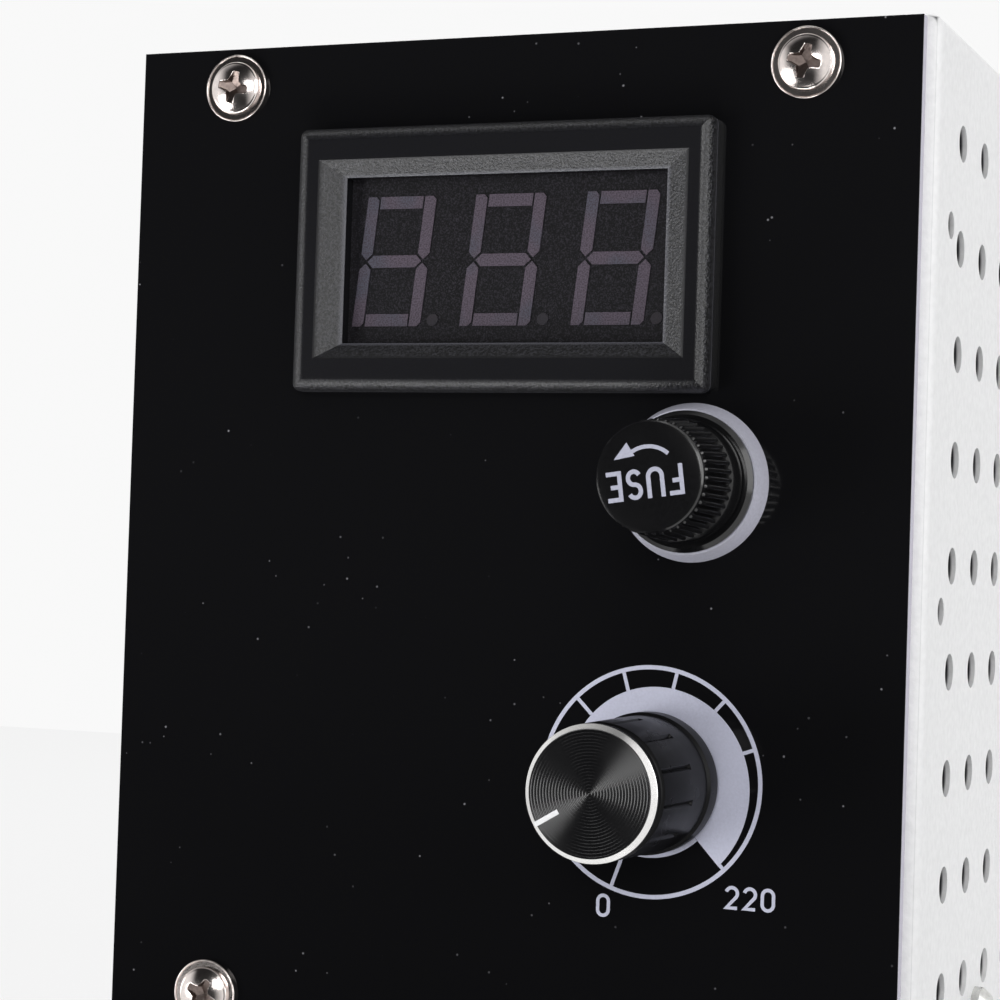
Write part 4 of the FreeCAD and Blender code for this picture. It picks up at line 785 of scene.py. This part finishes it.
class HEATER_OT_knob(bpy.types.Operator):
    """Make the knob: turned face, bright bevel, fluted grip and pointer"""

    bl_idname = "heater.knob"
    bl_label = "Knob"

    def execute(self, context):
        s = sizes()
        grid, metal = self.surface(s)
        rows, count = grid.shape[:2]
        quads = grid_quads(rows, count, False, True)
        kind = np.repeat(np.minimum(metal[:-1], metal[1:]), count)
        numbers = (PLAIN_METAL, BRIGHT_METAL, FACE_METAL)
        parts = [(grid, quads[kind == number].tolist(), number) for number in numbers]
        materials = [finish("black_aluminium"), finish("bright_cut"), finish("knob_face")]
        build_piece("knob", parts, materials, "dial_knob", KNOB_CREASE, "knob_shell")
        turn = np.radians(POINTER_AT)
        ends = np.array([s.pointer_in, s.pointer_out])
        path = np.stack([DIAL.x + ends * np.cos(turn), DIAL.z + ends * np.sin(turn)], axis=1)
        pointer = ribbon(path, s.pointer_w, KNOB_FACE_Y - s.ink, s.groove_depth + s.ink)
        build_piece("knob_pointer", [pointer], [finish("pointer_paint")], "dial_knob")
        return {"FINISHED"}

    def angles(self):
        """Angles round the knob, close together in each flute and wider on the land beside it, and how deep
        each lies in its flute: one at the middle, falling evenly to nothing at the edges."""
        pitch = 360 / FLUTES
        in_flute = np.linspace(-FLUTE_HALF, FLUTE_HALF, FLUTE_POINTS)
        on_land = np.linspace(FLUTE_HALF, pitch - FLUTE_HALF, LAND_POINTS)[1:-1]
        turn = (np.arange(FLUTES)[:, None] * pitch + np.concatenate([in_flute, on_land])).ravel()
        away = np.abs((turn + pitch / 2) % pitch - pitch / 2)
        return np.radians(turn + FLUTE_PHASE), np.clip(1 - away / FLUTE_HALF, 0, 1)

    def surface(self, s):
        """Rings from the face's middle round the outside to the inside, and each ring's metal. The face
        ripples with radius by a cosine; along the grip the radius dips at each flute by a sharp notch of the
        angle, which stops short of the foot."""
        turn, notch = self.angles()
        marks = int(KNOB_FACE_R / s.groove_pitch)
        face_r = np.linspace(0, KNOB_FACE_R, marks * MARK_ROWS + 1)
        ripple = 0.5 - 0.5 * np.cos(2 * np.pi * face_r / s.groove_pitch)
        ripple[-1] = 0
        face_y = KNOB_FACE_Y + s.groove_depth * ripple
        grip = np.concatenate([[GRIP_LIP], np.linspace(GRIP_TOP, GRIP_END, KNOB_GRIP_ROWS)])
        side_r, side_y = np.concatenate([BEVEL, NECK, grip, FOOT]).T * MM
        fluted = np.repeat([0, 0, 1, 0], [len(BEVEL), len(NECK), len(grip), len(FOOT)])
        foot_r, base_y = FOOT[-1][0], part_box("knob_shell")[1].y
        tail_r = np.array([foot_r, foot_r - FOOT_CHAMFER, INSIDE_FOOT_R, INSIDE_TOP_R, 0.0]) * MM
        ceiling_y = KNOB_FACE_Y + KNOB_FACE_T * MM
        tail_y = np.array([base_y - FOOT_CHAMFER * MM, base_y, base_y, ceiling_y, ceiling_y])
        dip = np.concatenate([np.zeros(len(face_r)), fluted, np.zeros(len(tail_r))])
        radius = np.concatenate([face_r, side_r, tail_r])
        y = np.concatenate([face_y, KNOB_FACE_Y + side_y, tail_y])
        plain_rows = len(radius) - len(face_r) - len(BEVEL)
        metal = np.repeat([FACE_METAL, BRIGHT_METAL, PLAIN_METAL], [len(face_r), len(BEVEL), plain_rows])
        rings = radius[:, None] - FLUTE_DEPTH * dip[:, None] * notch
        return turned(rings, y, DIAL, len(turn), turn), metal


# Panel screws, in millimetres, with the turns of their crosses in degrees

SCREW_TURNS = {(-1, 1): -13.0, (1, 1): -14.0, (-1, -1): 62.0, (1, -1): 40.0}
SCREW_FROM_EDGE = 3.95
SCREW_POINTS, CROWN_ROWS, EDGE_ROWS, ROLL_ROWS = 240, 64, 6, 9
CROWN_R, CROWN_BASE, CROWN_EDGE = 2.95, 0.98, 0.25
BALL_R, BALL_RISE = 4.0, 2.6
GROOVE_H, RIM_IN, RIM_R, RIM_RISE, RIM_FOOT = 0.45, 3.56, 3.78, 0.16, 0.3
GROOVE_GAP = 0.05
ARM_HALF, ARM_FLARE, FLARE_R, ARM_WALL = 0.44, 0.42, 0.9, 0.14
CROSS_R, CROSS_DEPTH, CROSS_RISE = 2.4, 1.15, 0.48
DARK_BELOW = 0.04
SHANK_R = 1.95
SCREW_CREASE = 0.7


class HEATER_OT_screws(bpy.types.Operator):
    """Make the panel's cross-head screws"""

    bl_idname = "heater.screws"
    bl_label = "Panel screws"

    def execute(self, context):
        low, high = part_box("panel_screws")
        inset = SCREW_FROM_EDGE * MM
        parts = []
        for (side, up), turn in SCREW_TURNS.items():
            x = low.x + inset if side < 0 else high.x - inset
            z = low.z + inset if up < 0 else high.z - inset
            parts += self.screw(Vector((x, 0, z)), np.radians(turn), high.y)
        materials = [finish("nickel_screw"), finish("screw_recess")]
        build_piece("panel_screw_heads", parts, materials, "case", SCREW_CREASE,
                    "panel_screws")
        return {"FINISHED"}

    def outline(self):
        """Radius and height of the head without its cross: a ball-shaped crown with a rounded edge, a groove
        and a rolled rim."""
        flat_r = CROWN_R - CROWN_EDGE
        crown = np.linspace(0, flat_r, CROWN_ROWS)
        ball = np.sqrt(1 - (crown / BALL_R) ** 2) - np.sqrt(1 - (flat_r / BALL_R) ** 2)
        edge = np.radians(np.linspace(0, 90, EDGE_ROWS))[1:]
        roll = np.linspace(np.pi, 0, ROLL_ROWS)
        rim_middle, rim_half = (RIM_IN + RIM_R) / 2, (RIM_R - RIM_IN) / 2
        radius = np.concatenate([crown, flat_r + CROWN_EDGE * np.sin(edge), [CROWN_R, RIM_IN - GROOVE_GAP],
                                 rim_middle + rim_half * np.cos(roll)])
        height = np.concatenate([CROWN_BASE + BALL_RISE * ball, CROWN_BASE - CROWN_EDGE * (1 - np.cos(edge)),
                                 [GROOVE_H, GROOVE_H], GROOVE_H + RIM_RISE * np.sin(roll)])
        height[-1] = RIM_FOOT
        return radius[:, None], height[:, None]

    def cross(self, radius, height, angle):
        """How far the cross is sunk: down to a floor that rises from the middle, wherever either arm's middle
        line is near. The arms flare towards the middle by a bell curve."""
        x, z = radius * np.cos(angle), radius * np.sin(angle)
        across = np.minimum(np.abs(x), np.abs(z))
        along = np.maximum(np.abs(x), np.abs(z))
        half_width = ARM_HALF + ARM_FLARE * np.exp(-((along / FLARE_R) ** 2))
        wall = np.clip((half_width - across) / ARM_WALL, 0, 1)
        floor = height[0] - CROSS_DEPTH + CROSS_RISE * along
        return np.where(radius < CROSS_R, wall * np.maximum(height - floor, 0), 0)

    def screw(self, centre, turn, end_y):
        """A head as height over (radius, angle), less its cross, and then the shank: a plain part and the
        dark part that is sunk."""
        radius, height = self.outline()
        angle = np.linspace(0, 2 * np.pi, SCREW_POINTS, endpoint=False)
        drop = self.cross(radius, height, angle - turn)
        head = np.stack([centre.x + radius * np.cos(angle) * MM, PANEL_Y - (height - drop) * MM,
                         centre.z + radius * np.sin(angle) * MM], axis=-1)
        tail_r = np.array([RIM_R, SHANK_R, SHANK_R, 0]) * MM
        tail = turned(tail_r[:, None], [PANEL_Y, PANEL_Y, end_y, end_y], centre, SCREW_POINTS)
        grid = np.concatenate([head, tail])
        quads = grid_quads(len(grid), SCREW_POINTS, False, True)
        sunk = np.concatenate([drop, np.zeros(tail.shape[:2])]).ravel() > DARK_BELOW
        dark = sunk[quads].sum(axis=1) > 1
        return [(grid, quads[~dark].tolist(), 0), (grid, quads[dark].tolist(), 1)]


# Stage

CAMERA_FROM_METER = (105.768, -258.81, -34.135)
CAMERA_FORWARD = (-0.37693, 0.92578, 0.02904)
CAMERA_UP = (-0.01893, -0.03905, 0.99906)
CAMERA_LENS, CAMERA_SENSOR, CAMERA_NEAR = 93.57, 36.0, 0.01
BACKGROUND = (0.945, 0.945, 0.945, 1)
FLOOR_SIDE, FLOOR_FRONT, FLOOR_REAR = 0.5, -0.09, 0.5
FLOOR_TONE = (0.86, 0.86, 0.86, 1)
FLOOR_WHITE = 0.85
ROOM_LIGHT = (0.42, 0.42, 0.43, 1)
ROOM_DARK, ROOM_WHITE = 0.012, 0.95
BEHIND_FROM, BEHIND_FULL = -0.45, 0.15
SIDES_FROM_FULL = ((0.12, 0.5), (-0.68, -0.88))
# Soft boxes: place, aim, width and height in metres, and power in watts
LAMPS = {
    "side_box": ((0.70, -0.05, 0.26), (0.0, 0.02, 0.06), 0.5, 0.6, 2.2),
    "top_box": ((-0.15, 0.35, 0.75), (0.0, 0.0, 0.02), 0.6, 0.5, 2.2),
    "low_left": ((-0.46, -0.42, -0.08), (0.0, -0.06, 0.07), 0.3, 0.3, 1.7),
    "low_bounce": ((-0.08, -0.24, -0.30), (0.0, -0.06, 0.09), 0.4, 0.2, 1.5),
    "front_fill": ((0.16, -0.85, 0.28), (0.0, -0.05, 0.06), 0.28, 0.28, 2.0),
}


class HEATER_OT_stage(bpy.types.Operator):
    """Set the floor, the light and the camera"""

    bl_idname = "heater.stage"
    bl_label = "Stage"

    def execute(self, context):
        scene = context.scene
        scene.view_settings.view_transform = "Standard"
        self.floor(scene)
        self.world(scene)
        for name, row in LAMPS.items():
            self.lamp(scene, name, *row)
        self.camera(scene)
        return {"FINISHED"}

    def floor(self, scene):
        """A flat pale bench top under the heater. To the camera it is mostly the background's white, and its
        own light and the heater's shadow make up the rest."""
        corners = [(-FLOOR_SIDE, FLOOR_FRONT, 0), (FLOOR_SIDE, FLOOR_FRONT, 0),
                   (FLOOR_SIDE, FLOOR_REAR, 0), (-FLOOR_SIDE, FLOOR_REAR, 0)]
        mesh = bpy.data.meshes.new("floor")
        mesh.from_pydata(corners, [], [(0, 1, 2, 3)])
        material, tree, shader = new_material("pale_floor")
        feed(tree, shader, Base_Color=FLOOR_TONE, Roughness=0.9)
        white = add(tree, "Emission", Color=BACKGROUND, Strength=1.0).outputs[0]
        rays = add(tree, "LightPath").outputs
        seen = worked(tree, "MULTIPLY", rays["Is Camera Ray"], FLOOR_WHITE)
        for kind in ("Is Glossy Ray", "Is Transmission Ray"):
            seen = worked(tree, "MAXIMUM", seen, rays[kind])
        blend = add(tree, "MixShader", i0=seen, i1=shader.outputs[0], i2=white).outputs[0]
        tree.links.new(blend, tree.nodes["Material Output"].inputs["Surface"])
        mesh.materials.append(material)
        floor = bpy.data.objects.new("floor", mesh)
        scene.collection.objects.link(floor)

    def world(self, scene):
        """White where the camera, metal or glass looks past the heater, and soft grey as light. What a mirror
        facing the front sees is dark, and it turns to white at either side and behind."""
        world = bpy.data.worlds.new("studio")
        world.use_nodes = True
        scene.world = world
        tree = world.node_tree
        rays = add(tree, "LightPath").outputs
        direction = add(tree, "TexCoord").outputs["Generated"]
        across, depth, _ = add(tree, "SeparateXYZ", Vector=direction).outputs
        mirrored = spread(tree, depth, ROOM_DARK, ROOM_WHITE, BEHIND_FROM, BEHIND_FULL)
        for side_from, side_full in SIDES_FROM_FULL:
            side = spread(tree, across, ROOM_DARK, ROOM_WHITE, side_from, side_full)
            mirrored = worked(tree, "MAXIMUM", mirrored, side)
        in_mirror = worked(tree, "MAXIMUM", rays["Is Glossy Ray"], rays["Is Transmission Ray"])
        light = mixed(tree, in_mirror, ROOM_LIGHT, mirrored)
        colour = mixed(tree, rays["Is Camera Ray"], light, BACKGROUND)
        feed(tree, tree.nodes["Background"], Color=colour, Strength=1.0)

    def lamp(self, scene, name, place_at, aim, width, height, power):
        """A soft box at a place, turned to its aim."""
        light = bpy.data.lights.new(name, "AREA")
        light.shape = "RECTANGLE"
        light.size, light.size_y = width, height
        light.energy = power
        lamp = bpy.data.objects.new(name, light)
        lamp.location = place_at
        lamp.rotation_euler = (Vector(aim) - Vector(place_at)).to_track_quat("-Z", "Y").to_euler()
        scene.collection.objects.link(lamp)

    def camera(self, scene):
        """The camera that the photograph was taken with: its place from the meter, and its forward and up."""
        data = bpy.data.cameras.new("camera")
        data.lens = CAMERA_LENS
        data.sensor_width = CAMERA_SENSOR
        data.clip_start = CAMERA_NEAR
        camera = bpy.data.objects.new("camera", data)
        back = -Vector(CAMERA_FORWARD)
        right = Vector(CAMERA_UP).cross(back).normalized()
        up = back.cross(right).normalized()
        turn = Matrix((right, up, back)).transposed().to_4x4()
        at = Vector((METER.x, PANEL_Y, METER.z)) + Vector(CAMERA_FROM_METER) * MM
        camera.matrix_world = Matrix.Translation(at) @ turn
        scene.collection.objects.link(camera)
        scene.camera = camera


# Sidebar and registration


class HEATER_PT_panel(bpy.types.Panel):
    """Sizes, colours and steps of the heater"""

    bl_idname = "HEATER_PT_panel"
    bl_label = "Reflow heater"
    bl_space_type = "VIEW_3D"
    bl_region_type = "UI"
    bl_category = "Reflow heater"

    def draw(self, context):
        for group in (sizes(), colours()):
            column = self.layout.column(align=True)
            for name in group.__annotations__:
                column.prop(group, name)
        for operator in OPERATORS:
            self.layout.operator(operator.bl_idname)


OPERATORS = (HEATER_OT_finishes, HEATER_OT_dial, HEATER_OT_fuse_cap, HEATER_OT_knob, HEATER_OT_screws,
             HEATER_OT_stage)
CLASSES = (HeaterSizes, HeaterColours, *OPERATORS, HEATER_PT_panel)


def register():
    """Register the classes and hang the sizes and colours on the scene."""
    for item in CLASSES:
        bpy.utils.register_class(item)
    bpy.types.Scene.heater_sizes = bpy.props.PointerProperty(type=HeaterSizes)
    bpy.types.Scene.heater_colours = bpy.props.PointerProperty(type=HeaterColours)


def unregister():
    """Take the sizes and colours off the scene and drop the classes."""
    del bpy.types.Scene.heater_sizes
    del bpy.types.Scene.heater_colours
    for item in reversed(CLASSES):
        bpy.utils.unregister_class(item)


def main():
    """Dress the heater."""
    register()
    bpy.ops.heater.finishes()
    bpy.ops.heater.dial()
    bpy.ops.heater.fuse_cap()
    bpy.ops.heater.knob()
    bpy.ops.heater.screws()
    bpy.ops.heater.stage()


if __name__ == "__main__":
    main()
